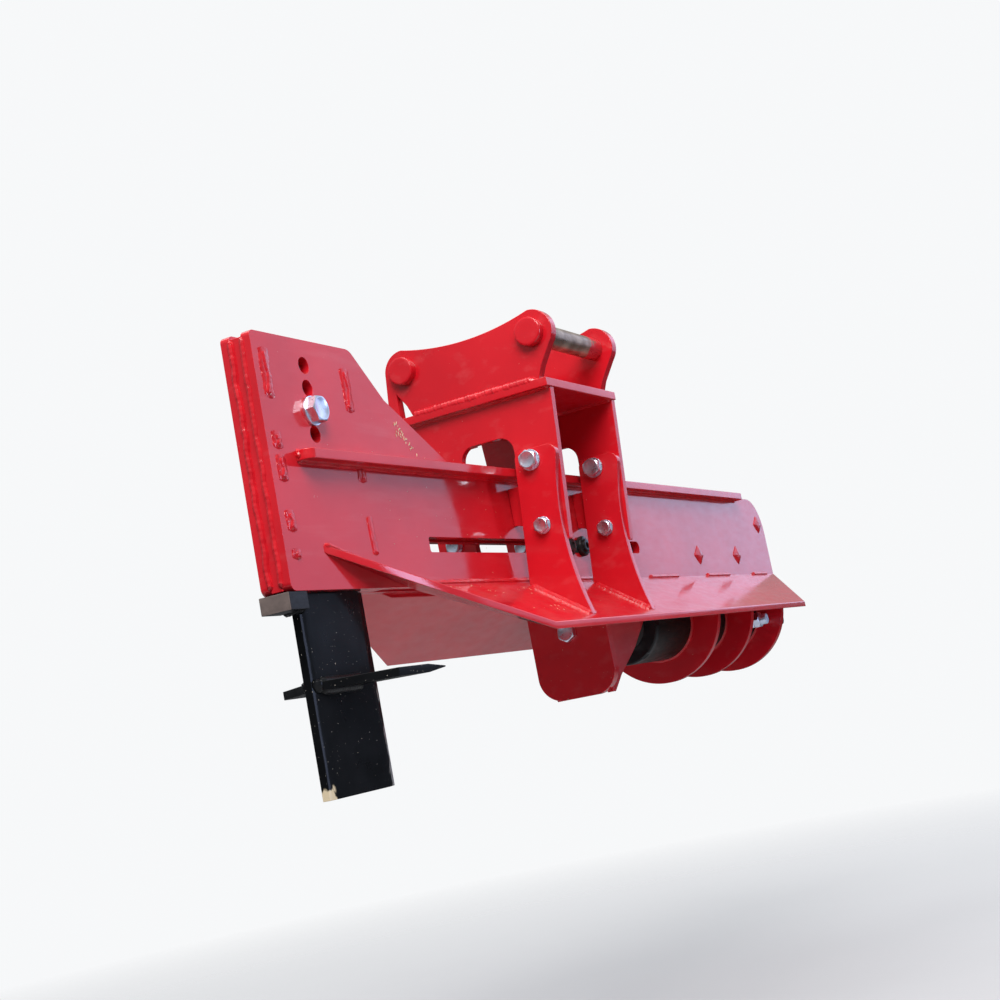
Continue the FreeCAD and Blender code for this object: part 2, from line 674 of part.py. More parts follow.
make_knife_blade()
plate(
    "knife_shoulder", "XY_Plane", [rectangle(-size.shoulder_start, size.knife_rear, -skin, skin)],
    -(size.shoulder_height + size.weld_gap), size.shoulder_height)


def wing_section(rear, front):
    """Side view of a wing: flat bar with a wedge-shaped cutting edge."""
    top = -size.wing_top
    middle = top - size.wing_thick * 0.5
    bottom = top - size.wing_thick
    flat_end = front - size.wing_bevel
    return [
        (rear, bottom), (flat_end, bottom), (front, middle - size.knife_edge_half),
        (front, middle + size.knife_edge_half), (flat_end, top), (rear, top)]


def make_wing(name, sign):
    body = new_body("knife_wing_" + name)
    root_section = wing_section(size.wing_root_rear, size.wing_root_front)
    tip_section = wing_section(size.wing_tip_rear, size.wing_tip_front)
    root = draw(body, body.Name + "_root", "XZ_Plane", [root_section], (), -sign * size.knife_half_thick)
    tip = draw(body, body.Name + "_tip", "XZ_Plane", [tip_section], (), -sign * size.wing_reach)
    loft = body.newObject("PartDesign::AdditiveLoft", body.Name + "_loft")
    loft.Profile = root
    loft.Sections = [tip]
    loft.Ruled = True
    body.Tip = loft
    finish(body, "knife_wing_" + name)


for side_name, side_sign in SIDES:
    make_wing(side_name, side_sign)


def make_knife_bolt():
    """The M24 bolt that sets the knife's height, with its nut and two washers."""
    x = size.knife_hole_x
    z = size.knife_hole_top - size.knife_hole_pitch * 2
    washer = M24["washer_thick"]
    near_face = -skin - washer
    shank_length = skin * 2 + washer * 2 + M24["nut"] + THREAD_TIP
    head = hexagon("-Y", (x, near_face, z), M24["corner"], M24["head"])
    shank = rod("Y", (x, near_face, z), M24["shank"], shank_length)
    finish(fuse(head, shank), "knife_bolt")
    nut = hexagon("Y", (x, skin + washer, z), M24["corner"], M24["nut"])
    bore = rod("Y", (x, skin, z), M24["shank"] + THREAD_GAP, M24["nut"] + washer + THREAD_TIP)
    finish(cut(nut, bore), "knife_bolt_nut")
    hole = M24["shank"] + WASHER_GAP
    rings = [ring("Y", (x, face, z), M24["washer"], hole, washer) for face in (near_face, skin)]
    finish(group(*rings), "knife_bolt_washers")


make_knife_bolt()


# ---------------------------------------------------------------- ram cylinder and its cradle


axis_z = -size.ram_z
running = size.fit_clearance


def make_cylinder_rib(label, number):
    """Cradle rib: half round outside, its top following the shields, with a bore for the barrel."""
    outer = size.rib_radius
    centre = -size.rib_centre_drop
    under = shield_height(outer) - size.shield_drop
    top = -size.weld_gap
    roof = shield_height(skin) - size.shield_drop
    outline = [
        (-outer, under), (-skin, roof), (-skin, top), (skin, top), (skin, roof), (outer, under),
        Via(0, centre - outer)]
    holes = [(0, axis_z, size.barrel_radius + size.rib_bore_gap)]
    if number == 2:
        holes.append((-size.pipe_y, -size.port_z, size.pipe_radius + size.pipe_gap))
    plate(label, "YZ_Plane", [outline], size.rib_first_x + size.rib_pitch * number, size.rib_thick, holes)


for rib_number, rib_name in enumerate(("front", "middle", "rear")):
    make_cylinder_rib("cylinder_rib_" + rib_name, rib_number)

barrel_length = size.barrel_end - size.barrel_start
barrel_solid = fuse(
    rod("X", (size.barrel_start, 0, axis_z), size.barrel_radius, barrel_length),
    rod("-Y", (size.pipe_end, -size.boss_root, -size.port_z), size.boss_radius,
        size.pipe_y + size.elbow_half - size.boss_root),
    rod("Y", (size.rod_port_x, size.boss_root, -size.port_z), size.boss_radius,
        size.rod_port_y - size.boss_root))
barrel_bore = rod("X", (size.barrel_start, 0, axis_z), size.bore_radius, barrel_length)
finish(cut(barrel_solid, barrel_bore), "cylinder_barrel")


def make_gland():
    """Screwed-in head with a spigot inside the barrel and a running bore for the rod."""
    start = size.gland_start
    collar = rod("X", (start, 0, axis_z), size.gland_radius, size.barrel_start - start)
    spigot = rod("X", (size.barrel_start, 0, axis_z), size.bore_radius - running, size.gland_spigot)
    whole = size.barrel_start - start + size.gland_spigot
    bore = rod("X", (start, 0, axis_z), size.rod_radius + running, whole)
    finish(cut(fuse(collar, spigot), bore), "cylinder_gland")
    wiper_start = start - size.wiper_thick
    finish(
        ring("X", (wiper_start, 0, axis_z), size.wiper_radius, size.rod_radius + running, size.wiper_thick),
        "gland_wiper")


make_gland()


def make_rear_eye():
    """Rear cap of the barrel with the eye that takes the anchor pin."""
    cap = rod("X", (size.barrel_end, 0, axis_z), size.barrel_radius, size.eye_cap_thick)
    half = size.eye_half_width
    neck = block(
        size.barrel_end + size.eye_cap_thick, size.eye_x, -half, half, axis_z - size.eye_radius,
        axis_z + size.eye_radius)
    round_end = rod("Y", (size.eye_x, -half, axis_z), size.eye_radius, half * 2)
    hole = rod("Y", (size.eye_x, -half, axis_z), size.rear_pin_radius + running, half * 2)
    finish(cut(fuse(cap, neck, round_end), hole), "cylinder_rear_eye")


make_rear_eye()


def make_lug(name, sign):
    """Anchor lug whose top follows the shield above it, rounded around the rear pin."""
    inner = size.lug_inner
    outer = size.lug_inner + size.lug_thick
    half = size.lug_half_length
    side = [
        (-outer, axis_z), (-inner, axis_z), (-inner, shield_height(inner) - size.shield_drop),
        (-outer, shield_height(outer) - size.shield_drop)]
    upright = prism("lug_upright_" + name, "YZ_Plane", [sided(side, sign)], size.eye_x - half, half * 2)
    start = inner if sign > 0 else -outer
    foot = rod("Y", (size.eye_x, start, axis_z), half, size.lug_thick)
    hole = rod("Y", (size.eye_x, start, axis_z), size.rear_pin_radius + running, size.lug_thick)
    return cut(fuse(upright, foot), hole)


finish(group(*[make_lug(name, sign) for name, sign in SIDES]), "rear_lugs")
pin_half = size.rear_pin_half
plate(
    "rear_pin", "XZ_Plane", [], -pin_half, pin_half * 2, [(size.eye_x, axis_z, size.rear_pin_radius)])
clip_inner = size.lug_inner + size.lug_thick + size.circlip_gap
finish(
    group(*[
        ring("Y", (size.eye_x, start, axis_z), size.rear_pin_radius + size.circlip_width,
             size.rear_pin_radius + running, size.circlip_thick)
        for start in (-(clip_inner + size.circlip_thick), clip_inner)]),
    "rear_pin_circlips")


def hose_fitting(axis, sign, x, y, z):
    """Hexagon with a threaded end for the hose, pointing outwards from y."""
    nut = hexagon(axis, (x, y, z), size.fitting_corner, size.fitting_length)
    thread_start = y + sign * size.fitting_length
    thread = rod(axis, (x, thread_start, z), size.hose_thread_radius, size.hose_thread_length)
    return fuse(nut, thread)


def make_hydraulics():
    """Hard pipe from the base port past the rear rib, and the two hose fittings."""
    x = size.pipe_start
    y = -size.pipe_y
    z = -size.port_z
    elbow = hexagon("-Y", (x, y + size.elbow_half, z), size.elbow_corner, size.elbow_length)
    line = rod("X", (x, y, z), size.pipe_radius, size.pipe_end - x - size.boss_radius)
    finish(fuse(elbow, line), "base_port_pipe")
    base_fitting = hose_fitting("-Y", -1, x, y + size.elbow_half - size.elbow_length, z)
    rod_fitting = hose_fitting("Y", 1, size.rod_port_x, size.rod_port_y, z)
    finish(group(base_fitting, rod_fitting), "port_fittings")


make_hydraulics()


# ---------------------------------------------------------------- ram rod and piston


def make_ram_rod():
    """Rod with a slimmer neck for the piston, and the bolt through the pusher's face into its front end."""
    front = size.face_x + size.face_thick
    full = rod("X", (front, 0, axis_z), size.rod_radius, size.piston_start - front)
    neck = rod("X", (front, 0, axis_z), size.rod_neck_radius, size.rod_neck_end - front)
    tapped = rod("X", (front, 0, axis_z), M20["shank"] + THREAD_GAP, size.rod_bolt_depth)
    finish(cut(fuse(full, neck), tapped), "ram_rod")
    head = hexagon("X", (size.face_x - M20["head"], 0, axis_z), M20["corner"], M20["head"])
    shank_length = size.face_thick + size.rod_bolt_depth - size.rod_bolt_end_gap
    shank = rod("X", (size.face_x, 0, axis_z), M20["shank"], shank_length)
    finish(fuse(head, shank), "rod_end_bolt")


def make_piston():
    start = size.piston_start
    body = rod("X", (start, 0, axis_z), size.bore_radius - running, size.piston_length)
    core = rod("X", (start, 0, axis_z), size.rod_neck_radius + running, size.piston_length)
    seats = [start + size.seal_inset, start + size.piston_length - size.seal_inset - size.seal_width]
    floor = size.bore_radius - size.seal_depth
    grooves = [
        ring("X", (seat, 0, axis_z), size.bore_radius, floor, size.seal_width) for seat in seats]
    finish(cut(cut(cut(body, core), grooves[0]), grooves[1]), "ram_piston")
    lip = size.bore_radius - size.seal_clearance
    rings = [ring("X", (seat, 0, axis_z), lip, floor, size.seal_width) for seat in seats]
    finish(group(*rings), "piston_seals")
    nut_start = start + size.piston_length
    nut = hexagon("X", (nut_start, 0, axis_z), size.piston_nut_radius, size.piston_nut_thick)
    nut_bore = rod("X", (nut_start, 0, axis_z), size.rod_neck_radius + running, size.piston_nut_thick)
    finish(cut(nut, nut_bore), "piston_nut")


make_ram_rod()
make_piston()


# ---------------------------------------------------------------- pusher


face_back = size.face_x + size.face_thick
pusher_underside = -(size.pusher_top + size.pusher_top_thick)


def make_pusher_face():
    """Face plate with rounded lower corners and a crown that follows the shields' undersides."""
    half = size.face_half_width
    body = new_body("pusher_face")
    bottom = -size.face_bottom
    outline = [
        (-half, bottom), (half, bottom), (half, -size.face_top), (skin, -size.face_crown),
        (-skin, -size.face_crown), (-half, -size.face_top)]
    hole = (0, axis_z, M20["shank"] + BOLT_GAP)
    sketch = draw(body, "pusher_face_outline", "YZ_Plane", [outline], [hole], size.face_x)
    feature = pad(body, sketch, size.face_thick)
    bottoms = [Vector(0, sign * half.value, bottom.value) for sign in (-1, 1)]
    round_edges(body, feature, Vector(1, 0, 0), bottoms, size.face_radius)
    finish(body, "pusher_face")


def make_pusher_gusset(name, sign):
    toe = -size.face_bottom
    outline = [
        (face_back, toe), (face_back + size.pusher_gusset_toe, toe),
        (size.pusher_gusset_low_x, -size.pusher_gusset_low_z),
        (size.pusher_gusset_high_x, -size.pusher_gusset_high_z),
        (size.pusher_end, -size.pusher_gusset_heel),
        (size.pusher_end, pusher_underside), (face_back, pusher_underside)]
    inner = size.pusher_gusset_outer - size.pusher_gusset_thick
    start = side_start(sign, inner, size.pusher_gusset_thick)
    plate("pusher_gusset_" + name, "XZ_Plane", [outline], start, size.pusher_gusset_thick)


make_pusher_face()
for side_name, side_sign in SIDES:
    make_pusher_gusset(side_name, side_sign)

top_half = size.pusher_top_half
plate(
    "pusher_top_plate", "XY_Plane", [rectangle(face_back, size.pusher_end, -top_half, top_half)],
    pusher_underside, size.pusher_top_thick)

guide_z = (size.slot_bottom + size.slot_top) * 0.5
guide_x = [
    size.guide_first_x, size.guide_first_x + size.guide_pitch,
    size.guide_first_x + size.guide_pitch + size.guide_rear_gap,
    size.guide_first_x + size.guide_pitch * 2 + size.guide_rear_gap]
bolt_clear = size.guide_bolt_radius + running
web_outline = [
    (size.web_start, -size.face_crown), (face_back, -size.face_crown), (face_back, -size.pusher_top),
    (size.pusher_end, -size.pusher_top), (size.pusher_end, size.web_heel), (size.web_end, size.web_heel),
    (size.web_end, size.web_top), (size.web_start, size.web_top)]
plate(
    "pusher_web", "XZ_Plane", [web_outline], -size.web_half, size.web_half * 2,
    [(x, guide_z, bolt_clear) for x in guide_x])


def make_shoe(sign):
    """Slide shoe that fills the slot of one side plate and rests against the web."""
    inner = size.web_half
    outer = skin - size.shoe_recess
    low_y, high_y = (inner, outer) if sign > 0 else (-outer, -inner)
    bar = block(
        size.shoe_start, size.shoe_start + size.shoe_length, low_y, high_y, size.slot_bottom + size.shoe_gap,
        size.slot_top - size.shoe_gap)
    holes = [rod("Y", (x, low_y, guide_z), bolt_clear, high_y - low_y) for x in guide_x]
    return cut(bar, fuse(*holes))


finish(group(make_shoe(-1), make_shoe(1)), "guide_shoes")
cap_face = skin + size.guide_cap_gap
caps = []
bolts = []
for x in guide_x:
    for sign in (-1, 1):
        start = cap_face if sign > 0 else -(cap_face + size.guide_cap_thick)
        caps.append(ring("Y", (x, start, guide_z), size.guide_cap_radius, bolt_clear, size.guide_cap_thick))
    far_face = cap_face + size.guide_cap_thick
    shaft = rod("Y", (x, -far_face, guide_z), size.guide_bolt_radius, far_face * 2)
    heads = [
        rod("-Y", (x, -far_face, guide_z), size.guide_head_radius, size.guide_head_thick),
        rod("Y", (x, far_face, guide_z), size.guide_head_radius, size.guide_head_thick)]
    bolts.append(fuse(shaft, *heads))
finish(group(*caps), "guide_caps")
finish(group(*bolts), "guide_bolts")


# ---------------------------------------------------------------- check and write


doc.recompute()
for thing in doc.Objects:
    if "Invalid" in thing.State or "Error" in thing.State:
        raise RuntimeError("%s (%s) failed: %s" % (thing.Label, thing.Name, thing.State))
for thing in sub_parts:
    if thing.Shape.isNull() or not thing.Shape.isValid():
        raise RuntimeError("%s has no valid shape" % thing.Label)

os.makedirs("parts", exist_ok=True)
for thing in sub_parts:
    thing.Shape.exportStep("parts/%s.step" % thing.Label)
print("%d sub-parts written" % len(sub_parts))
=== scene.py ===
import json
import math
import random

import bmesh
import bpy
from mathutils import Matrix, Vector, noise

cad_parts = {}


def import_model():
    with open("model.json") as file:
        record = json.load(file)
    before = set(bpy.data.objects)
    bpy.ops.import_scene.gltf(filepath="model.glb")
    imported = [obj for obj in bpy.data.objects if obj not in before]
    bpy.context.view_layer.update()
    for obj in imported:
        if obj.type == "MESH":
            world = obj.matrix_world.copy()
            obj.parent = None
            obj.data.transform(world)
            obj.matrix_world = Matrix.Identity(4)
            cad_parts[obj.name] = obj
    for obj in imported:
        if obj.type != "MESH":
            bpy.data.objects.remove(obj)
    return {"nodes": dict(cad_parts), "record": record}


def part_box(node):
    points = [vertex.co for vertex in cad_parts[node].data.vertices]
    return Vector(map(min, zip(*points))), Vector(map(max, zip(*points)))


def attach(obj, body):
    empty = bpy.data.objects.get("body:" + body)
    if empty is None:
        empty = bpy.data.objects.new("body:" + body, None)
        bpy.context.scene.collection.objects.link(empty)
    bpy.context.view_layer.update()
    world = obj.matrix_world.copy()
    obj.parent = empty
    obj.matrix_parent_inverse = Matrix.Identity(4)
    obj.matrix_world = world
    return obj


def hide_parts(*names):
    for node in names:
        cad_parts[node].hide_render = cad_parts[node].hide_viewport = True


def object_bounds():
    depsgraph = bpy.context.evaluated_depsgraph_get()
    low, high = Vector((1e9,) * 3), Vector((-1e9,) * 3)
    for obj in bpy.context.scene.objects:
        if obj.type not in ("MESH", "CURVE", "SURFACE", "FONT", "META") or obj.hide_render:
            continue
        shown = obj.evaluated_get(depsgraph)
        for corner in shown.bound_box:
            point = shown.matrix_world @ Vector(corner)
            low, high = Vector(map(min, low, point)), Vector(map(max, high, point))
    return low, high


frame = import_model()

# Excavator log splitter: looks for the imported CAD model. Detail is laid out in beam millimetres: X along the
# beam from its knife end, Y across it, Z up from its lower edge. at() turns those into the frame's metres.

MM = 0.001
CAD_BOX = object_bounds()
NODES = frame["nodes"]
BEAM_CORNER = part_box("side_plate_near")[0]
BEAM_ORIGIN = Vector((BEAM_CORNER.x, 0.0, BEAM_CORNER.z))


def at(x, y, z):
    return BEAM_ORIGIN + Vector((x, y, z)) * MM


def extent(node):
    """Lowest and highest corners of a CAD node in beam millimetres."""
    return [(corner - BEAM_ORIGIN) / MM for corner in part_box(node)]


def round_part(node):
    """Height of a round node's axis and its radius, in beam millimetres."""
    low, high = extent(node)
    return (low.z + high.z) / 2, (high.z - low.z) / 2


# ---------------------------------------------------------------- materials


class Shader:
    """A Principled material with short calls for adding and joining texture nodes."""

    def __init__(self, name, **sockets):
        self.material = bpy.data.materials.new(name)
        self.material.use_nodes = True
        self.nodes = self.material.node_tree.nodes
        self.links = self.material.node_tree.links
        self.surface = self.nodes["Principled BSDF"]
        for socket, value in sockets.items():
            self.surface.inputs[socket.replace("_", " ")].default_value = value
        self.place = self.nodes.new("ShaderNodeTexCoord").outputs["Object"]

    def noise(self, scale, detail=4.0, stretch=(1.0, 1.0, 1.0)):
        mapping = self.nodes.new("ShaderNodeMapping")
        mapping.inputs["Scale"].default_value = stretch
        self.links.new(self.place, mapping.inputs["Vector"])
        texture = self.nodes.new("ShaderNodeTexNoise")
        texture.inputs["Scale"].default_value = scale
        texture.inputs["Detail"].default_value = detail
        self.links.new(mapping.outputs["Vector"], texture.inputs["Vector"])
        return texture.outputs["Fac"]

    def cells(self, scale):
        texture = self.nodes.new("ShaderNodeTexVoronoi")
        texture.inputs["Scale"].default_value = scale
        self.links.new(self.place, texture.inputs["Vector"])
        return texture

    def remap(self, value, low, high, to_low=0.0, to_high=1.0):
        node = self.nodes.new("ShaderNodeMapRange")
        node.inputs["From Min"].default_value = low
        node.inputs["From Max"].default_value = high
        node.inputs["To Min"].default_value = to_low
        node.inputs["To Max"].default_value = to_high
        self.links.new(value, node.inputs["Value"])
        return node.outputs["Result"]

    def math(self, operation, first, second):
        node = self.nodes.new("ShaderNodeMath")
        node.operation = operation
        for socket, value in zip(node.inputs, (first, second)):
            if isinstance(value, float):
                socket.default_value = value
            else:
                self.links.new(value, socket)
        return node.outputs["Value"]

    def mix(self, share, first, second):
        node = self.nodes.new("ShaderNodeMix")
        node.data_type = "RGBA"
        self.links.new(share, node.inputs["Factor"])
        for socket, value in ((node.inputs["A"], first), (node.inputs["B"], second)):
            if isinstance(value, tuple):
                socket.default_value = (*value, 1.0)
            else:
                self.links.new(value, socket)
        return node.outputs["Result"]

    def axis(self, letter, facing=False):
        """One coordinate of the point in metres, or of its normal."""
        node = self.nodes.new("ShaderNodeSeparateXYZ")
        source = self.nodes.new("ShaderNodeNewGeometry").outputs["Normal"] if facing else self.place
        self.links.new(source, node.inputs["Vector"])
        return node.outputs[letter]

    def bump(self, height, strength, distance, coat=False):
        node = self.nodes.new("ShaderNodeBump")
        node.inputs["Strength"].default_value = strength
        node.inputs["Distance"].default_value = distance
        self.links.new(height, node.inputs["Height"])
        self.links.new(node.outputs["Normal"], self.surface.inputs["Normal"])
        if coat:
            self.links.new(node.outputs["Normal"], self.surface.inputs["Coat Normal"])

    def set(self, socket, value):
        self.links.new(value, self.surface.inputs[socket])


def paint(name, colour, shade, dust=(0.46, 0.36, 0.30), dust_share=0.13, coat=1.0, chips=0.765):
    """Glossy enamel: faint mottling, orange peel, dust on upward faces, small chips and rub marks."""
    shader = Shader(
        name, Roughness=0.45, Coat_Weight=coat, Coat_Roughness=0.07, Coat_IOR=1.5, Specular_IOR_Level=0.08)
    tone = shader.mix(shader.remap(shader.noise(5.0), 0.35, 0.65), colour, shade)
    up = shader.remap(shader.axis("Z", facing=True), 0.45, 0.95)
    patches = shader.remap(shader.noise(22.0, 6.0), 0.42, 0.72)
    film = shader.math("MULTIPLY", shader.math("MULTIPLY", up, patches), dust_share)
    dusty = shader.mix(film, tone, dust)
    streaks = shader.remap(shader.noise(9.0, 5.0, (0.6, 3.0, 5.0)), 0.56, 0.74, 0.0, 0.10)
    rubbed = shader.mix(streaks, dusty, tuple(min(1.0, part * 0.7 + 0.22) for part in colour))
    specks = shader.remap(shader.noise(260.0, 3.0), chips, chips + 0.02)
    bare = shader.mix(specks, rubbed, (0.62, 0.52, 0.42))
    shader.set("Base Color", bare)
    shader.set("Roughness", shader.remap(shader.noise(30.0, 5.0, (1.0, 2.0, 3.0)), 0.3, 0.7, 0.30, 0.48))
    smears = shader.noise(14.0, 6.0, (0.6, 2.0, 2.5))
    shader.set("Coat Roughness", shader.remap(smears, 0.35, 0.7, 0.03, 0.16))
    shader.bump(shader.noise(420.0, 2.0), 0.06, 0.0006, coat=True)
    return shader.material


def metal(name, colour, shade, roughness, stretch=(1.0, 1.0, 1.0), grain=180.0):
    """Bare or plated metal: grain along one direction and cloudy patches of tone."""
    shader = Shader(name, Metallic=1.0)
    shader.set("Base Color", shader.mix(shader.remap(shader.noise(40.0, 6.0), 0.3, 0.7), colour, shade))
    lines = shader.noise(grain, 4.0, stretch)
    shader.set("Roughness", shader.remap(lines, 0.3, 0.7, roughness * 0.75, roughness * 1.3))
    shader.bump(lines, 0.10, 0.0004)
    return shader.material


def zinc_plate():
    """Bright zinc on a fastener: small crystal patches with their own tone and gloss."""
    shader = Shader("zinc_plate", Metallic=1.0)
    spangle = shader.cells(380.0).outputs["Color"]
    shader.set("Base Color", shader.mix(spangle, (0.70, 0.78, 0.94), (0.82, 0.88, 1.0)))
    shader.set("Roughness", shader.remap(spangle, 0.0, 1.0, 0.26, 0.36))
    shader.bump(shader.noise(300.0, 2.0), 0.05, 0.0002)
    return shader.material


def knife_enamel():
    """Black enamel on the knife: worn to steel low on its cutting edge, pulp on its heel, pale specks."""
    low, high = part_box("knife_blade")
    shader = Shader(
        "knife_enamel", Roughness=0.34, Coat_Weight=0.14, Coat_Roughness=0.08, Coat_IOR=1.45,
        Specular_IOR_Level=0.05)
    cloud = shader.remap(shader.noise(12.0), 0.35, 0.65)
    tone = shader.mix(cloud, (0.0025, 0.003, 0.0035), (0.006, 0.0065, 0.008))
    ragged = shader.noise(70.0, 8.0, (1.0, 1.0, 0.5))

    def corner_patch(sideways, upward, tear, start, stop):
        """Share of a patch that fades out from a corner of the blade, with a torn border."""
        patch = shader.math("MULTIPLY", sideways, upward)
        border = shader.remap(ragged, 0.3, 0.7, -tear, tear)
        return shader.remap(shader.math("ADD", patch, border), start, stop)

    from_edge = shader.remap(shader.axis("X"), high.x - 0.024, high.x - 0.001)
    from_tip = shader.remap(shader.axis("Z"), low.z + 0.18, low.z)
    wear = corner_patch(from_edge, from_tip, 0.35, 0.42, 0.62)
    steel = shader.mix(wear, tone, (0.52, 0.50, 0.47))
    heel = shader.remap(shader.axis("X"), low.x + 0.019, low.x + 0.002)
    sole = shader.remap(shader.axis("Z"), low.z + 0.030, low.z)
    pulp = corner_patch(heel, sole, 0.4, 0.45, 0.6)
    stained = shader.mix(pulp, steel, (0.66, 0.55, 0.38))
    specks = shader.remap(shader.noise(330.0, 3.0), 0.715, 0.735)
    shader.set("Base Color", shader.mix(specks, stained, (0.55, 0.50, 0.44)))
    shader.set("Metallic", shader.math("MULTIPLY", wear, 0.85))
    shader.set("Roughness", shader.remap(shader.noise(28.0, 6.0), 0.3, 0.7, 0.26, 0.50))
    shader.bump(shader.noise(160.0, 6.0, (1.0, 1.0, 0.25)), 0.10, 0.0008, coat=True)
    return shader.material


def hitch_bar_steel():
    """Hitch bar rubbed to brown steel by the hook, with red paint left beside the ears."""
    low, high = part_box("hitch_pin_near")
    shader = Shader("hitch_bar_steel", Roughness=0.4)
    cloud = shader.remap(shader.noise(34.0, 8.0), 0.35, 0.68)
    steel = shader.mix(cloud, (0.46, 0.36, 0.27), (0.17, 0.11, 0.075))
    ragged = shader.remap(shader.noise(48.0, 6.0), 0.3, 0.7, -0.02, 0.02)
    along = shader.math("ADD", shader.axis("X"), ragged)
    rear_end = shader.remap(along, high.x - 0.062, high.x - 0.056)
    front_end = shader.remap(along, low.x + 0.040, low.x + 0.034)
    ends = shader.math("MAXIMUM", rear_end, front_end)
    shader.set("Base Color", shader.mix(ends, steel, (0.55, 0.018, 0.028)))
    shader.set("Metallic", shader.remap(ends, 0.0, 1.0, 0.75, 0.0))
    shader.set("Roughness", shader.remap(shader.noise(90.0, 5.0, (0.2, 1.0, 1.0)), 0.3, 0.7, 0.24, 0.46))
    shader.bump(shader.noise(130.0, 6.0, (0.2, 1.0, 1.0)), 0.16, 0.0008)
    return shader.material


def shoulder_steel():
    """Black enamel, scraped to brown-grey steel on the block's end face at the beam's knife end."""
    shader = Shader("shoulder_steel", Coat_Weight=0.2, Coat_Roughness=0.2, Specular_IOR_Level=0.2)
    cloud = shader.remap(shader.noise(60.0, 6.0), 0.3, 0.7)
    steel = shader.mix(cloud, (0.30, 0.235, 0.215), (0.19, 0.15, 0.14))
    bare = shader.remap(shader.axis("X", facing=True), -0.55, -0.8)
    shader.set("Base Color", shader.mix(bare, (0.010, 0.010, 0.012), steel))
    shader.set("Metallic", shader.math("MULTIPLY", bare, 0.6))
    shader.set("Roughness", shader.remap(shader.noise(120.0, 5.0, (1.0, 0.3, 2.0)), 0.3, 0.7, 0.34, 0.58))
    shader.bump(shader.noise(200.0, 6.0, (1.0, 0.3, 2.0)), 0.15, 0.0006)
    return shader.material


def weld_metal(name, colour, shade, coat=0.9):
    """Painted-over weld: the enamel's colour on a rougher, lumpier skin."""
    shader = Shader(name, Coat_Weight=coat, Coat_Roughness=0.10, Coat_IOR=1.5, Specular_IOR_Level=0.08)
    shader.set("Base Color", shader.mix(shader.remap(shader.noise(60.0, 5.0), 0.35, 0.65), colour, shade))
    shader.set("Roughness", shader.remap(shader.noise(120.0, 4.0), 0.3, 0.7, 0.30, 0.5))
    shader.bump(shader.noise(700.0, 4.0), 0.22, 0.0006, coat=True)
    return shader.material


def plain(name, colour, shade, roughness, scale, height):
    """Rubber, plastic or dust: mottled tone and a fine grain."""
    shader = Shader(name)
    cloud = shader.remap(shader.noise(scale * 0.4, 5.0), 0.35, 0.65)
    shader.set("Base Color", shader.mix(cloud, colour, shade))
    shader.set("Roughness", shader.remap(shader.noise(scale), 0.3, 0.7, roughness * 0.85, roughness * 1.15))
    shader.bump(shader.noise(scale * 3.0, 3.0), 0.2, height)
    return shader.material


RED = (0.64, 0.010, 0.020)
RED_SHADE = (0.54, 0.007, 0.016)
MATERIALS = {
    "frame_red": paint("red_enamel", RED, RED_SHADE),
    "pusher_red": paint("pusher_enamel", (0.60, 0.010, 0.020), (0.47, 0.007, 0.015), chips=0.735),
    "knife_black": knife_enamel(),
    "bare_steel": metal("bare_steel", (0.50, 0.46, 0.44), (0.34, 0.30, 0.28), 0.42),
    "zinc": zinc_plate(),
    # Dark green-black barrel enamel, darkened further to near-black as painted shade for the barrel's place
    # under the shields.
    "barrel_paint": paint(
        "barrel_enamel_painted_shade", (0.006, 0.010, 0.008), (0.004, 0.006, 0.005), dust_share=0.04, coat=0.05),
    "gland_black": paint(
        "gland_enamel", (0.014, 0.015, 0.017), (0.009, 0.010, 0.011), dust_share=0.06, coat=0.25),
    "seal_rubber": plain("seal_rubber", (0.018, 0.018, 0.018), (0.028, 0.027, 0.026), 0.75, 200.0, 0.0003),
    "rod_chrome": metal("rod_chrome", (0.80, 0.81, 0.83), (0.74, 0.75, 0.77), 0.09, (0.1, 1.0, 1.0), 60.0),
    "piston_steel": metal("turned_steel", (0.55, 0.54, 0.52), (0.44, 0.43, 0.42), 0.30, (6.0, 1.0, 1.0)),
    "shoe_plastic": plain("shoe_plastic", (0.022, 0.022, 0.024), (0.034, 0.033, 0.033), 0.45, 150.0, 0.0003),
    "cap_black": paint(
        "black_oxide", (0.016, 0.016, 0.018), (0.024, 0.023, 0.023), dust_share=0.15, coat=0.4),
}
RED_WELD = weld_metal("red_weld", (0.66, 0.014, 0.024), (0.52, 0.008, 0.017))
BLACK_WELD = weld_metal("black_weld", (0.004, 0.005, 0.006), (0.009, 0.010, 0.012), coat=0.25)
GREY_WELD = weld_metal("grey_weld", (0.010, 0.015, 0.013), (0.006, 0.009, 0.008), coat=0.15)
SAWDUST = plain("sawdust", (0.72, 0.60, 0.42), (0.55, 0.42, 0.27), 0.85, 260.0, 0.0004)


# ---------------------------------------------------------------- CAD nodes that stay


def dress(node, material, bevel):
    """Give a CAD node its material, and edges broken by a small bevel in millimetres."""
    shape = NODES[node]
    shape.data.materials.clear()
    shape.data.materials.append(material)
    for extra in ("custom_normal", "sharp_edge", "sharp_face"):
        if extra in shape.data.attributes:
            shape.data.attributes.remove(shape.data.attributes[extra])
    shape.data.shade_smooth()
    weld = shape.modifiers.new("join", "WELD")
    weld.merge_threshold = 0.00002
    flat = shape.modifiers.new("flat_faces", "DECIMATE")
    flat.decimate_type = "DISSOLVE"
    flat.angle_limit = math.radians(0.6)
    edge = shape.modifiers.new("broken_edges", "BEVEL")
    edge.width = bevel * MM
    edge.segments = 2
    edge.limit_method = "ANGLE"
    edge.angle_limit = math.radians(35)
    shading = shape.modifiers.new("flat_shading", "WEIGHTED_NORMAL")
    shading.keep_sharp = False


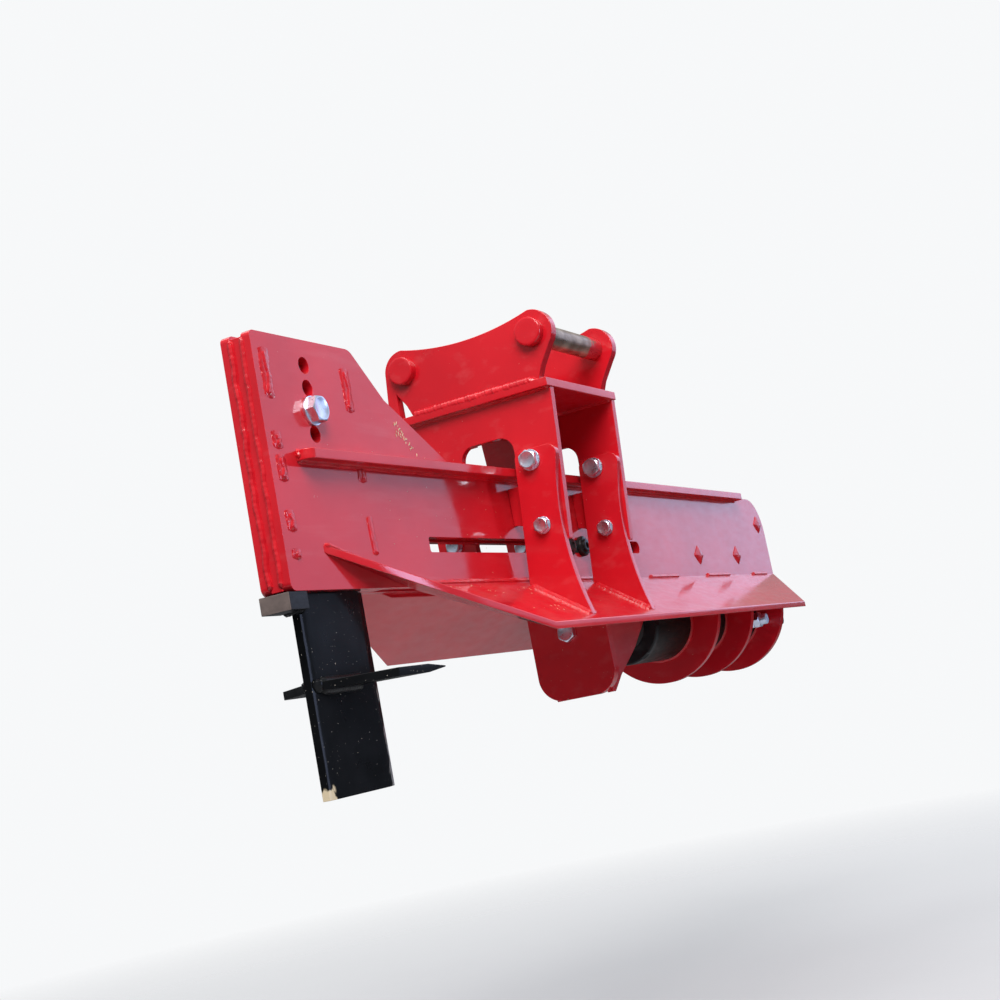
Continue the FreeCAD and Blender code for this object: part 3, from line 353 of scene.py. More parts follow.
BEVELS = {
    "frame_red": 1.3, "knife_black": 0.7, "bare_steel": 1.0, "barrel_paint": 0.8, "gland_black": 1.0,
    "seal_rubber": 0.4, "rod_chrome": 0.8, "piston_steel": 0.6, "pusher_red": 1.2, "shoe_plastic": 0.8,
    "zinc": 0.4, "cap_black": 0.8}
for entry in frame["record"]["subparts"]:
    group = entry["material_slot"]
    dress(entry["node"], MATERIALS[group], BEVELS[group])
bar_steel = hitch_bar_steel()
for pin in ("hitch_pin_near", "hitch_pin_far"):
    NODES[pin].material_slots[0].material = bar_steel
NODES["knife_shoulder"].material_slots[0].material = shoulder_steel()


# ---------------------------------------------------------------- mesh helpers


def piece(name, mesh_data, material, body="frame", replaced=()):
    """Finish a bmesh as a piece: joined seams, outward faces, sharp edges kept sharp, riding on its body."""
    bmesh.ops.remove_doubles(mesh_data, verts=mesh_data.verts, dist=0.000004)
    bmesh.ops.recalc_face_normals(mesh_data, faces=mesh_data.faces)
    for face in mesh_data.faces:
        face.smooth = True
    for edge in mesh_data.edges:
        if len(edge.link_faces) == 2 and edge.calc_face_angle() > math.radians(32):
            edge.smooth = False
    mesh = bpy.data.meshes.new(name)
    mesh_data.to_mesh(mesh)
    mesh_data.free()
    mesh.materials.append(material)
    shape = bpy.data.objects.new(name, mesh)
    bpy.context.scene.collection.objects.link(shape)
    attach(shape, body)
    if replaced:
        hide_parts(*replaced)
    return shape


def loft(mesh_data, rings):
    """Skin a row of rings of points; a ring of one point closes the end."""
    made = [[mesh_data.verts.new(point) for point in ring] for ring in rings]
    for low, high in zip(made, made[1:]):
        count = max(len(low), len(high))
        for index in range(count):
            after = (index + 1) % count
            corners = [low[index % len(low)], low[after % len(low)]]
            corners += [high[after % len(high)], high[index % len(high)]]
            corners = list(dict.fromkeys(corners))
            if len(corners) > 2:
                mesh_data.faces.new(corners)


def cross_axes(axis):
    """The axis with two directions across it; a hexagon's first corner points along the first of them."""
    axis = Vector(axis)
    first = Vector((1, 0, 0)) if abs(axis.y) > 0.9 else Vector((0, 0, 1))
    return axis, first, axis.cross(first)


def spoke(first, second, angle):
    """Unit direction at an angle between two crossed directions."""
    return first * math.cos(angle) + second * math.sin(angle)


def revolve(mesh_data, centre, axis, profile, segments=56):
    """Turn (radius, height) points round an axis through centre."""
    axis, first, second = cross_axes(axis)
    rings = []
    for radius, height in profile:
        base = centre + axis * (height * MM)
        if radius == 0:
            rings.append([base])
            continue
        angles = [2 * math.pi * step / segments for step in range(segments)]
        rings.append([base + spoke(first, second, angle) * (radius * MM) for angle in angles])
    loft(mesh_data, rings)


def cylinder(mesh_data, centre, axis, radius, start, stop, segments):
    """Closed cylinder between two heights along an axis."""
    revolve(mesh_data, centre, axis, [(0, start), (radius, start), (radius, stop), (0, stop)], segments)


def hexagon(mesh_data, centre, axis, corner, height, bore=0.0, dish=0.0, both_ends=False):
    """Hexagon with its corners turned off at 30 degrees, like a real bolt head or nut."""
    axis, first, second = cross_axes(axis)
    flat = corner * math.cos(math.pi / 6)
    crown = flat * 0.95
    segments = 72
    rings = [[], [], [], [], []]
    for step in range(segments):
        angle = 2 * math.pi * step / segments
        side = flat / math.cos(angle % (math.pi / 3) - math.pi / 6)
        slope = (side - crown) * math.tan(math.pi / 6)
        bottom = slope if both_ends else 0.0
        profile = [
            (bore or crown * 0.5, 0.0), (crown if both_ends else side, 0.0), (side, bottom),
            (side, height - slope), (crown, height)]
        outward = spoke(first, second, angle)
        for ring, (radius, level) in zip(rings, profile):
            ring.append(centre + outward * (radius * MM) + axis * (level * MM))
    loft(mesh_data, rings)
    rim = 1.2
    if bore:
        top = [(crown, height), (bore + rim, height), (bore, height - rim), (bore, 0)]
    else:
        top = [(crown, height), (crown - rim, height), (crown - 2 * rim, height - dish), (0, height - dish)]
    revolve(mesh_data, centre, axis, top, segments)


def thread(mesh_data, centre, axis, radius, length, pitch):
    """Screw thread with a chamfered free end."""
    axis, first, second = cross_axes(axis)
    segments = 32
    steps = max(8, int(length / pitch * 6))
    rings = []
    for step in range(steps + 1):
        height = length * step / steps
        ring = []
        for corner in range(segments):
            angle = 2 * math.pi * corner / segments
            phase = (height / pitch - corner / segments) % 1.0
            reach = radius - 0.55 * pitch * abs(2 * phase - 1)
            reach = min(reach, radius - 0.3 + (length - height) - pitch * 0.5)
            ring.append(centre + axis * (height * MM) + spoke(first, second, angle) * (reach * MM))
        rings.append(ring)
    rings.append([centre + axis * (length * MM)])
    loft(mesh_data, rings)


def resample(path, spacing, closed):
    """Evenly spaced points along a polyline of beam-millimetre points."""
    corners = [Vector(point) for point in path]
    if closed:
        corners.append(corners[0])
    points = []
    for start, stop in zip(corners, corners[1:]):
        count = max(1, round((stop - start).length / spacing))
        points += [start.lerp(stop, step / count) for step in range(count)]
    if not closed:
        points.append(corners[-1])
    return points


def bead(mesh_data, path, radius, outward, flat=1.0, pitch=5.0, closed=False, wander=0.5, sides=8):
    """Weld bead along a path: a flattened tube of overlapping crescents, half sunk in the joint."""
    points = resample(path, pitch / 3.0, closed)
    outward = Vector(outward).normalized()
    middle = sum(points, Vector()) / len(points)
    rings = []
    for index, point in enumerate(points):
        before = points[index - 1] if closed or index else point
        after = points[(index + 1) % len(points)] if closed or index + 1 < len(points) else point
        along = (after - before).normalized()
        lift = outward
        if closed:
            lift = (point - middle).normalized() + outward
        lift = (lift - along * lift.dot(along)).normalized()
        across = along.cross(lift)
        drift = noise.noise(point * 0.05) * wander
        crescent = (index % 3) / 3.0
        size = radius * (0.90 + 0.12 * crescent + 0.10 * noise.noise(point * 0.11))
        if not closed:
            from_end = min(index, len(points) - 1 - index) * pitch / 3.0
            size *= min(1.0, math.sqrt(max(0.04, from_end / (radius * flat))))
        ring = []
        for side in range(sides):
            angle = 2 * math.pi * side / sides
            high = math.cos(angle) * size * flat
            wide = math.sin(angle) * size + drift
            ring.append(at(*(point + lift * high + across * wide + along * (0.45 * size * math.cos(angle)))))
        rings.append(ring)
    if closed:
        rings.append(rings[0])
        loft(mesh_data, rings)
        return
    first = sum(rings[0], Vector()) / sides
    last = sum(rings[-1], Vector()) / sides
    loft(mesh_data, [[first]] + rings + [[last]])


def circle_path(x, z, radius, count=72):
    """Points of a circle round a line along X on the beam's middle plane."""
    angles = [2 * math.pi * step / count for step in range(count)]
    return [(x, radius * math.cos(angle), z + radius * math.sin(angle)) for angle in angles]


# ---------------------------------------------------------------- welds on the frame


plate_low, plate_high = extent("side_plate_near")
rib_low, rib_high = extent("top_rib_near")
SKIN = -plate_low.y
POCKET = 10  # half the gap between the side plates
SHIELD_SLOPE = 0.674
SHIELD_LEVEL = 5.0  # height of the shield's upper face at the side plate
SHIELD_DROP = 12.0  # from the shield's upper face down to its lower face
SHIELD_FOLD = 330  # where the shield's rising tip ends
SHIELD_SEAMS = ((SHIELD_FOLD, 1175), (1246, 1404), (1576, 1724), (1885, 1992))
TOWER_STROKES = (  # X of each column, with the lowest and highest Z of its strokes
    (25, ((42, 56), (80, 110), (150, 188), (196, 221), (268, 340))),
    (225, ((157, 181), (264, 331))))
TOP_BAR_SEAM = 184.5  # just above the top spacer bar
DIAMONDS = ((1555, 51), (1806, 51), (2001, 127))  # X and Z of the windows' middles


def shield_z(distance):
    """Height of a shield's upper face at a distance from the middle plane."""
    return SHIELD_LEVEL - SHIELD_SLOPE * (distance - SKIN)


def tower_stroke(mesh_data, side, x, low, high):
    """Upright weld on the tower: a wide flat pass with a narrower one that wanders over it."""
    y = side * SKIN
    outward = (0, side, 0)
    bead(mesh_data, [(x, y, low), (x, y, high)], 12.0, outward, 0.17, 9.0, wander=2.2, sides=16)
    upper_pass = [(x - 4, y, low + 3), (x + 3, y, (low + high) / 2), (x - 2, y, high - 4)]
    bead(mesh_data, upper_pass, 6.0, outward, 0.6, 8.0, wander=2.0, sides=12)


def beam_welds():
    """Seams of the ribs, the shields and the spacer bars, and the upright strokes on the tower."""
    mesh_data = bmesh.new()
    for side in (-1, 1):
        y = side * SKIN
        for z, lift in ((rib_high.z, 1), (rib_low.z, -1)):
            bead(mesh_data, [(rib_low.x + 2, y, z), (rib_high.x - 2, y, z)], 4.0, (0, side, lift))
        nose_y = side * (rib_high.y - rib_low.y) * 0.35 + y
        nose_z = rib_high.z - 7
        rib_nose = [(rib_low.x, y, nose_z), (rib_low.x + 1, nose_y, nose_z)]
        bead(mesh_data, rib_nose, 7.5, (-1, 0, 0), flat=0.8)
        shield_tip = extent("shield_near")[0].x
        shield_nose = [(shield_tip + 3, y, 64), (200, y, 37), (SHIELD_FOLD, y, SHIELD_LEVEL)]
        bead(mesh_data, shield_nose, 5.0, (0, side, 1))
        for start, stop in SHIELD_SEAMS:
            bead(mesh_data, [(start, y, SHIELD_LEVEL), (stop, y, SHIELD_LEVEL)], 5.5, (0, side, 1))
        for x, strokes in TOWER_STROKES:
            for low, high in strokes:
                tower_stroke(mesh_data, side, x, low, high)
        lower_stroke = [(226, y, 48), (224, y, 106)]
        bead(mesh_data, lower_stroke, 8.5, (0, side, 0), 0.26, 7.0, wander=1.5, sides=12)
        front_seam = [(2, side * POCKET, 6), (2, side * POCKET, 357)]
        bead(mesh_data, front_seam, 5.2, (-1, 0, 0), pitch=8.0, wander=2.2)
    bar_low, bar_high = extent("beam_lower_bar")
    for side in (-1, 1):
        y = side * POCKET
        bead(mesh_data, [(bar_high.x, y, bar_low.z + 4), (bar_high.x, y, bar_high.z - 4)], 4.0, (1, 0, 0))
        top_seam = [(290, y, TOP_BAR_SEAM), (plate_high.x - 100, y, TOP_BAR_SEAM)]
        bead(mesh_data, top_seam, 3.4, (0, 0, 1), sides=6)
    return piece("beam_welds", mesh_data, RED_WELD)


def diamond_plugs():
    """Diamond windows filled with weld metal, slightly crowned, with the swirl of the passes."""
    mesh_data = bmesh.new()
    half_wide = 28.0
    half_high = 22.0
    crown = (
        (1.0, -4.0), (1.0, -0.4), (0.93, 0.9), (0.8, 1.5), (0.62, 2.3), (0.44, 2.5), (0.24, 3.0), (0.08, 2.9))
    for x, z in DIAMONDS:
        for side in (-1, 1):
            rings = []
            for scale, height in crown:
                ring = []
                for step in range(40):
                    angle = 2 * math.pi * step / 40
                    reach = 1.0 / (abs(math.cos(angle)) ** 1.12 + abs(math.sin(angle)) ** 1.12)
                    wide = x + half_wide * reach * scale * math.cos(angle)
                    high = z + half_high * reach * scale * math.sin(angle)
                    wave = 0.45 * math.sin(step * 2.3 + scale * 16) * scale * (1 - scale) * 4
                    ring.append(at(wide, side * (SKIN + height * 1.5 + wave), high))
                rings.append(ring)
            rings.append([at(x, side * (SKIN + 4.3), z)])
            loft(mesh_data, rings)
    return piece("diamond_plugs", mesh_data, RED_WELD)


def bracket_welds():
    """Seams of the hitch ears on the deck, of the bracket plates under it, and at the gussets' feet."""
    mesh_data = bmesh.new()
    deck_z = extent("bracket_top_plate")[1].z
    ear_half = 126
    for ear in ("hitch_ear_front", "hitch_ear_rear"):
        low, high = extent(ear)
        for x, way in ((low.x, -1), (high.x, 1)):
            foot = [(x, -ear_half, deck_z), (x, ear_half, deck_z)]
            bead(mesh_data, foot, 9.5, (way, 0, 1), pitch=7.0, wander=0.8, sides=12)
    for plate in ("bracket_front_plate", "bracket_rear_plate"):
        low, high = extent(plate)
        for x, way in ((low.x, -1), (high.x, 1)):
            bead(mesh_data, [(x, low.y + 2, high.z), (x, high.y - 2, high.z)], 4.5, (way, 0, -1))
    for gusset in ("front_gusset_near", "rear_gusset_near", "front_gusset_far", "rear_gusset_far"):
        low, high = extent(gusset)
        side = -1 if low.y < 0 else 1
        near = min(abs(low.y), abs(high.y)) + 2
        far = max(abs(low.y), abs(high.y)) - 2
        for x, way in ((low.x, -1), (high.x, 1)):
            foot = [(x, side * near, shield_z(near)), (x, side * far, shield_z(far))]
            bead(mesh_data, foot, 5.5, (way, side * 0.5, 0.8), pitch=6.0)
    return piece("bracket_welds", mesh_data, RED_WELD)


def cradle_welds():
    """Seams of the three ribs on the barrel, and of the ribs and rear lugs under the shields."""
    mesh_data = bmesh.new()
    axis_z, radius = round_part("cylinder_rear_eye")
    for rib in ("cylinder_rib_front", "cylinder_rib_middle", "cylinder_rib_rear"):
        low, high = extent(rib)
        for x, way in ((low.x, -1), (high.x, 1)):
            bead(mesh_data, circle_path(x, axis_z, radius + 0.5), 4.5, (way, 0, 0), closed=True)
            for side in (-1, 1):
                reach = (SKIN + 3, 132)
                slope = [(x, side * distance, shield_z(distance) - SHIELD_DROP) for distance in reach]
                bead(mesh_data, slope, 4.5, (way, side * 0.4, -0.7))
    lug_low, lug_high = extent("rear_lugs")
    lug_z = shield_z(lug_high.y) - SHIELD_DROP
    for side in (-1, 1):
        y = side * lug_high.y
        bead(mesh_data, [(lug_low.x + 3, y, lug_z), (lug_high.x - 3, y, lug_z)], 4.5, (0, side, -0.6))
    return piece("cradle_welds", mesh_data, RED_WELD)


def barrel_welds():
    """Seam between the cylinder's barrel and its rear cap."""
    mesh_data = bmesh.new()
    axis_z, radius = round_part("cylinder_rear_eye")
    cap_start = extent("cylinder_rear_eye")[0].x
    seam = circle_path(cap_start, axis_z, radius - 1.0)
    bead(mesh_data, seam, 3.6, (0, 0, 1), closed=True, pitch=4.0)
    return piece("barrel_welds", mesh_data, GREY_WELD)


def knife_welds():
    """Heavy fillets where the wings and the shoulder block meet the blade."""
    mesh_data = bmesh.new()
    face = extent("knife_blade")[1].y
    for node, side in (("knife_wing_near", -1), ("knife_wing_far", 1)):
        low, high = extent(node)
        y = side * face
        for z, lift in ((high.z, 1), (low.z, -1)):
            root = [(low.x + 4, y, z), (low.x + 106, y, z)]
            bead(mesh_data, root, 8.0, (0, side, lift), 0.8, 6.0, wander=0.8, sides=12)
        bead(mesh_data, [(low.x, y, low.z - 3), (low.x, y, high.z + 3)], 8.0, (-1, side, 0), 0.8, sides=12)
    low, high = extent("knife_shoulder")
    under = [(high.x, -20, low.z + 2), (high.x, 20, low.z + 2)]
    bead(mesh_data, under, 6.5, (1, 0, -1), pitch=6.0, wander=1.0)
    return piece("knife_welds", mesh_data, BLACK_WELD)


def pusher_welds():
    """Seams of the pusher's gussets and top plate on its face, and of its web on the top plate."""
    mesh_data = bmesh.new()
    enamel = weld_metal("pusher_weld", (0.60, 0.012, 0.022), (0.48, 0.008, 0.016))
    face_x = extent("pusher_face")[1].x
    top_low, top_high = extent("pusher_top_plate")
    for node in ("pusher_gusset_near", "pusher_gusset_far"):
        low, high = extent(node)
        for y, way in ((low.y, -1), (high.y, 1)):
            bead(mesh_data, [(face_x, y, low.z + 8), (face_x, y, high.z - 4)], 4.5, (1, way, 0))
        side = -1 if low.y < 0 else 1
        outer = low.y if side < 0 else high.y
        under = [(low.x + 8, outer, top_low.z), (high.x - 4, outer, top_low.z)]
        bead(mesh_data, under, 4.0, (0, side, -0.2))
    bead(mesh_data, [(face_x, -50, top_high.z), (face_x, 50, top_high.z)], 4.0, (1, 0, 1))
    for side in (-1, 1):
        y = side * 9
        web_foot = [(top_low.x + 6, y, top_high.z), (top_high.x - 6, y, top_high.z)]
        bead(mesh_data, web_foot, 4.0, (0, side, 1))
    return piece("pusher_welds", mesh_data, enamel, "pusher")


beam_welds()
diamond_plugs()
bracket_welds()
cradle_welds()
barrel_welds()
knife_welds()
pusher_welds()


# ---------------------------------------------------------------- fasteners


WASHER = 3  # thickness under the bracket's bolt heads
THREAD_GAP = 0.05  # from a thread or rod to the bore round it


def zinc_piece(name, mesh_data, replaced, body="frame"):
    """Piece in zinc plate that takes one CAD node's place."""
    return piece(name, mesh_data, MATERIALS["zinc"], body, [replaced])


def bolts_and_nuts():
    """The bracket's M20 and M16 bolts and nuts, with the threads that stand out of the nuts."""
    for level, corner, shank, pitch in (("upper", 17.3, 10.0, 2.5), ("lower", 13.9, 8.0, 2.0)):
        bolt_low, bolt_high = extent(level + "_gusset_bolts")
        nut_low, nut_high = extent(level + "_gusset_nuts")
        z = (bolt_low.z + bolt_high.z) / 2
        y = nut_high.y - corner * math.cos(math.pi / 6)
        fronts = [extent(node)[0].x for node in ("front_gusset_near", "rear_gusset_near")]
        head_front = bolt_low.x - fronts[0]
        nut_end = nut_high.x - fronts[1]
        nut_start = nut_low.x - fronts[0]
        tip = bolt_high.x - fronts[1]
        bolts = bmesh.new()
        nuts = bmesh.new()
        for front in fronts:
            for side in (-1, 1):
                seat = at(front - WASHER, side * y, z)
                hexagon(bolts, seat, (-1, 0, 0), corner, -WASHER - head_front, dish=0.5)
                cylinder(bolts, seat, (1, 0, 0), shank, 0, nut_end + WASHER, 32)
                thread(bolts, at(front + nut_end, side * y, z), (1, 0, 0), shank, tip - nut_end, pitch)
                nut_seat = at(front + nut_start, side * y, z)
                hexagon(
                    nuts, nut_seat, (1, 0, 0), corner, nut_end - nut_start, bore=shank + THREAD_GAP,
                    both_ends=True)
        zinc_piece(level + "_bolts_detail", bolts, level + "_gusset_bolts")
        zinc_piece(level + "_nuts_detail", nuts, level + "_gusset_nuts")


def knife_bolt_detail():
    """M24 bolt that holds the knife at its height, and its nut."""
    low, high = extent("knife_bolt")
    nut_low, nut_high = extent("knife_bolt_nut")
    washer_low, washer_high = extent("knife_bolt_washers")
    x = (low.x + high.x) / 2
    z = (washer_low.z + washer_high.z) / 2
    corner = (high.x - low.x) / 2
    shank = 12.0
    inward = (0, 1, 0)
    seat = at(x, washer_low.y, z)
    bolt = bmesh.new()
    hexagon(bolt, seat, (0, -1, 0), corner, washer_low.y - low.y, dish=0.7)
    cylinder(bolt, seat, inward, shank, 0, nut_high.y - washer_low.y, 40)
    thread(bolt, at(x, nut_high.y, z), inward, shank, high.y - nut_high.y, 3.0)
    zinc_piece("knife_bolt_detail", bolt, "knife_bolt")
    nut = bmesh.new()
    nut_seat = at(x, nut_low.y, z)
    hexagon(nut, nut_seat, inward, corner, nut_high.y - nut_low.y, bore=shank + THREAD_GAP, both_ends=True)
    zinc_piece("knife_nut_detail", nut, "knife_bolt_nut")


def rod_bolt_detail():
    """Bolt through the pusher's face into the end of the ram's rod."""
    low, high = extent("rod_end_bolt")
    z, corner = round_part("rod_end_bolt")
    face_x = extent("pusher_face")[0].x
    seat = at(face_x, 0, z)
    bolt = bmesh.new()
    hexagon(bolt, seat, (-1, 0, 0), corner, face_x - low.x, dish=0.6)
    cylinder(bolt, seat, (1, 0, 0), 10, 0, high.x - face_x, 32)
    zinc_piece("rod_bolt_detail", bolt, "rod_end_bolt", "pusher")


def pin_cap_detail():
    """Flat caps over the hitch pins' ends, with a rounded rim and a faintly dished middle."""
    low, high = extent("hitch_pin_caps")
    z, radius = round_part("hitch_pin_caps")
    y = high.y - radius
    front = extent("hitch_ear_front")[0].x
    rear = extent("hitch_ear_rear")[1].x
    caps = bmesh.new()
    for x, way, thick in ((front, -1, front - low.x), (rear, 1, high.x - rear)):
        profile = [
            (0, 0), (radius, 0), (radius, thick - 2.6), (radius - 0.8, thick - 0.9),
            (radius - 2.6, thick - 0.1), (radius - 4, thick), (radius * 0.5, thick - 0.15), (0, thick - 0.2)]
        for side in (-1, 1):
            revolve(caps, at(x, side * y, z), (way, 0, 0), profile)
    return piece("pin_caps_detail", caps, MATERIALS["frame_red"], "frame", ["hitch_pin_caps"])


def guide_cap_detail():
    """Turned caps along each slot, and the guide bolts through them with round, hollowed heads."""
    low, high = extent("guide_caps")
    z, radius = round_part("guide_caps")
    first = low.x + radius
    places = [first + step for step in (0, 60, 160)] + [high.x - radius]
    bolt_radius = 7
    bore = bolt_radius + THREAD_GAP
    thick = 9.0
    inner = -(low.y + thick)
    outer = inner + thick
    cap_profile = [
        (bore, 0), (radius, 0), (radius, 6.0), (radius - 1, 7.6), (radius - 3, 8.6), (14, thick),
        (bore, thick), (bore, 0)]
    head_profile = [
        (0, 0), (12.5, 0), (12.5, 2.6), (11.6, 3.7), (10.4, 4.0), (6.2, 4.0), (5.4, 1.0), (0, 1.0)]
    caps = bmesh.new()
    bolts = bmesh.new()
    for x in places:
        for side in (-1, 1):
            revolve(caps, at(x, side * inner, z), (0, side, 0), cap_profile)
            revolve(bolts, at(x, side * outer, z), (0, side, 0), head_profile, 48)
        cylinder(bolts, at(x, -outer, z), (0, 1, 0), bolt_radius, 0, outer * 2, 32)
    piece("guide_caps_detail", caps, MATERIALS["cap_black"], "pusher", ["guide_caps"])
    piece("guide_bolts_detail", bolts, MATERIALS["cap_black"], "pusher", ["guide_bolts"])


bolts_and_nuts()
knife_bolt_detail()
rod_bolt_detail()
pin_cap_detail()
guide_cap_detail()


# ---------------------------------------------------------------- cylinder detail


def gland_detail():
    """Screwed gland with a chamfered rim and spanner notches, and a wiper with a raised lip."""
    low, high = extent("cylinder_gland")
    z, radius = round_part("cylinder_gland")
    bore = round_part("ram_rod")[1] + THREAD_GAP
    length = high.x - low.x
    flange = 12.0
    spigot = 62.45
    notch_depth = 5.0
    segments = 96
    profile = [
        (bore, length), (bore, 0.0), (bore + 10, 0.0), (radius - 3.0, 0.0), (radius - 0.8, 1.4),
        (radius, 3.4), (radius, flange), (spigot, flange), (spigot, length), (bore, length)]
    axis, first, second = cross_axes((1, 0, 0))
    centre = at(low.x, 0, z)
    gland = bmesh.new()
    rings = []
    for number, (reach, height) in enumerate(profile):
        ring = []
        for step in range(segments):
            angle = 2 * math.pi * step / segments
            notch = step % 16 in (7, 8, 9) and number in (4, 5)
            out = reach - notch_depth if notch else reach
            ring.append(centre + axis * (height * MM) + spoke(first, second, angle) * (out * MM))
        rings.append(ring)
    loft(gland, rings)
    piece("gland_detail", gland, MATERIALS["gland_black"], "frame", ["cylinder_gland"])
    wiper_low, wiper_high = extent("gland_wiper")
    outer = round_part("gland_wiper")[1]
    width = wiper_high.x - wiper_low.x
    lip = [
        (bore, 0.0), (bore + 1.6, 0.2), (bore + 2.4, 1.6), (outer - 1.5, 2.4), (outer, 3.4), (outer, width),
        (bore, width), (bore, 0.0)]
    wiper = bmesh.new()
    revolve(wiper, at(wiper_low.x, 0, z), (1, 0, 0), lip, 72)
    piece("wiper_detail", wiper, MATERIALS["seal_rubber"], "frame", ["gland_wiper"])


def hose_ends():
    """Port fittings with a hexagon, a collar and a hose thread, and the base port's elbow and pipe."""
    low, high = extent("port_fittings")
    pipe_low, pipe_high = extent("base_port_pipe")
    boss_y = extent("cylinder_barrel")[1].y
    z = (low.z + high.z) / 2
    corner = 18.0
    length = 14.0
    collar = [(0, -1), (13.5, -1), (13.5, 1.4), (12.6, 2.2), (0, 2.2)]
    fittings = bmesh.new()
    for x, start, way in ((high.x - corner, pipe_low.y, -1), (low.x + corner, boss_y, 1)):
        outward = (0, way, 0)
        hexagon(fittings, at(x, start, z), outward, corner, length, dish=0.3, both_ends=True)
        revolve(fittings, at(x, start + way * length, z), outward, collar, 40)
        thread(fittings, at(x, start + way * (length + 2), z), outward, 12.0, 12.0, 1.8)
    zinc_piece("hose_ends_detail", fittings, "port_fittings")
    elbow_x = high.x - corner
    elbow_corner = (pipe_high.z - pipe_low.z) / 2 / math.cos(math.pi / 6)
    elbow_seat = at(elbow_x, pipe_high.y, z)
    pipe_radius = 9
    pipe_y = pipe_low.y + 10.0
    union = 13.6
    pipe = bmesh.new()
    hexagon(
        pipe, elbow_seat, (0, -1, 0), elbow_corner, pipe_high.y - pipe_low.y, dish=0.3, both_ends=True)
    cylinder(pipe, at(elbow_x, pipe_y, z), (1, 0, 0), pipe_radius, 10, pipe_high.x - elbow_x, 32)
    hexagon(pipe, at(elbow_x + 15, pipe_y, z), (1, 0, 0), union, 16.0, dish=0.3, both_ends=True)
    hexagon(pipe, at(pipe_high.x, pipe_y, z), (-1, 0, 0), union, 14.0, dish=0.3, both_ends=True)
    zinc_piece("base_pipe_detail", pipe, "base_port_pipe")


gland_detail()
hose_ends()


# ---------------------------------------------------------------- sawdust


def sawdust_chips():
    """Wood splinters on the near side: by the tower's slope, on the side plate, the rib and the shield."""
    chance = random.Random(7)
    mesh_data = bmesh.new()

    def chip(x, y, z, across, length, thick):
        spin = chance.uniform(0, math.pi)
        turn = Matrix.Rotation(spin, 3, across)
        side = across.orthogonal().normalized()
        other = across.cross(side)
        corners = []
        for along, wide in ((-1, -0.4), (0.2, -0.6), (1, 0.1), (-0.1, 0.55)):
            flat = turn @ (side * along * length + other * wide * length * 0.5)
            corners.append(Vector((x, y, z)) + flat)
        low = [at(*corner) for corner in corners]
        high = [at(*(corner + across * thick * chance.uniform(0.5, 1.0))) for corner in corners]
        loft(mesh_data, [[sum(low, Vector()) / 4], low, high, [sum(high, Vector()) / 4]])

    outward = Vector((0, -1, 0))
    slope_line = 611  # X plus Z along the tower's slope
    for _ in range(34):
        x = chance.gauss(368, 12)
        chip(x, -SKIN, slope_line - x - abs(chance.gauss(0, 11)), outward, chance.uniform(1.2, 3.8), 0.8)
    for _ in range(26):
        chip(chance.uniform(260, 640), -SKIN, chance.gauss(120, 55), outward, chance.uniform(0.4, 1.2), 0.5)
    up = Vector((0, 0, 1))
    for _ in range(22):
        chip(chance.uniform(90, 650), chance.uniform(-47, -28), rib_high.z, up, chance.uniform(0.8, 2.6), 0.8)
    slope = Vector((0, -SHIELD_SLOPE, 1)).normalized()
    for _ in range(30):
        distance = chance.uniform(SKIN + 10, 130)
        x = chance.uniform(350 + distance, 660)
        chip(x, -distance, shield_z(distance), slope, chance.uniform(0.6, 1.8), 0.6)
    return piece("sawdust_chips", mesh_data, SAWDUST)


sawdust_chips()


# ---------------------------------------------------------------- stage, light and camera


def floor():
    """Grey floor under the hanging part, which fades out into the backdrop between 1 and 4 metres away."""
    reach = 9.0
    clearance = 0.55
    level = CAD_BOX[0][2] - clearance
    plane = bmesh.new()
    outline = ((-reach, -reach), (reach, -reach), (reach, reach), (-reach, reach))
    plane.faces.new([plane.verts.new((x, y, level)) for x, y in outline])
    mesh = bpy.data.meshes.new("studio_floor")
    plane.to_mesh(mesh)
    plane.free()
    shader = Shader("floor_paint", Roughness=0.8, Specular_IOR_Level=0.1)
    shader.set("Base Color", shader.mix(shader.noise(1.5), (0.52, 0.52, 0.53), (0.56, 0.56, 0.57)))
    distance = shader.nodes.new("ShaderNodeVectorMath")
    distance.operation = "LENGTH"
    shader.links.new(shader.place, distance.inputs[0])
    shader.set("Alpha", shader.remap(distance.outputs["Value"], 1.0, 4.0, 1.0, 0.0))
    mesh.materials.append(shader.material)
    ground = bpy.data.objects.new("studio_floor", mesh)
    bpy.context.scene.collection.objects.link(ground)


def softbox(name, spot, target, width, height, radiance, colour, spread=180.0):
    """Rectangular light at spot, facing target, with the given surface brightness and beam angle."""
    light = bpy.data.lights.new(name, "AREA")
    light.shape = "RECTANGLE"
    light.size = width
    light.size_y = height
    light.energy = radiance * math.pi * width * height
    light.color = colour
    light.spread = math.radians(spread)
    lamp = bpy.data.objects.new(name, light)
    lamp.location = spot
    lamp.rotation_euler = (Vector(target) - Vector(spot)).to_track_quat("-Z", "Y").to_euler()
    bpy.context.scene.collection.objects.link(lamp)


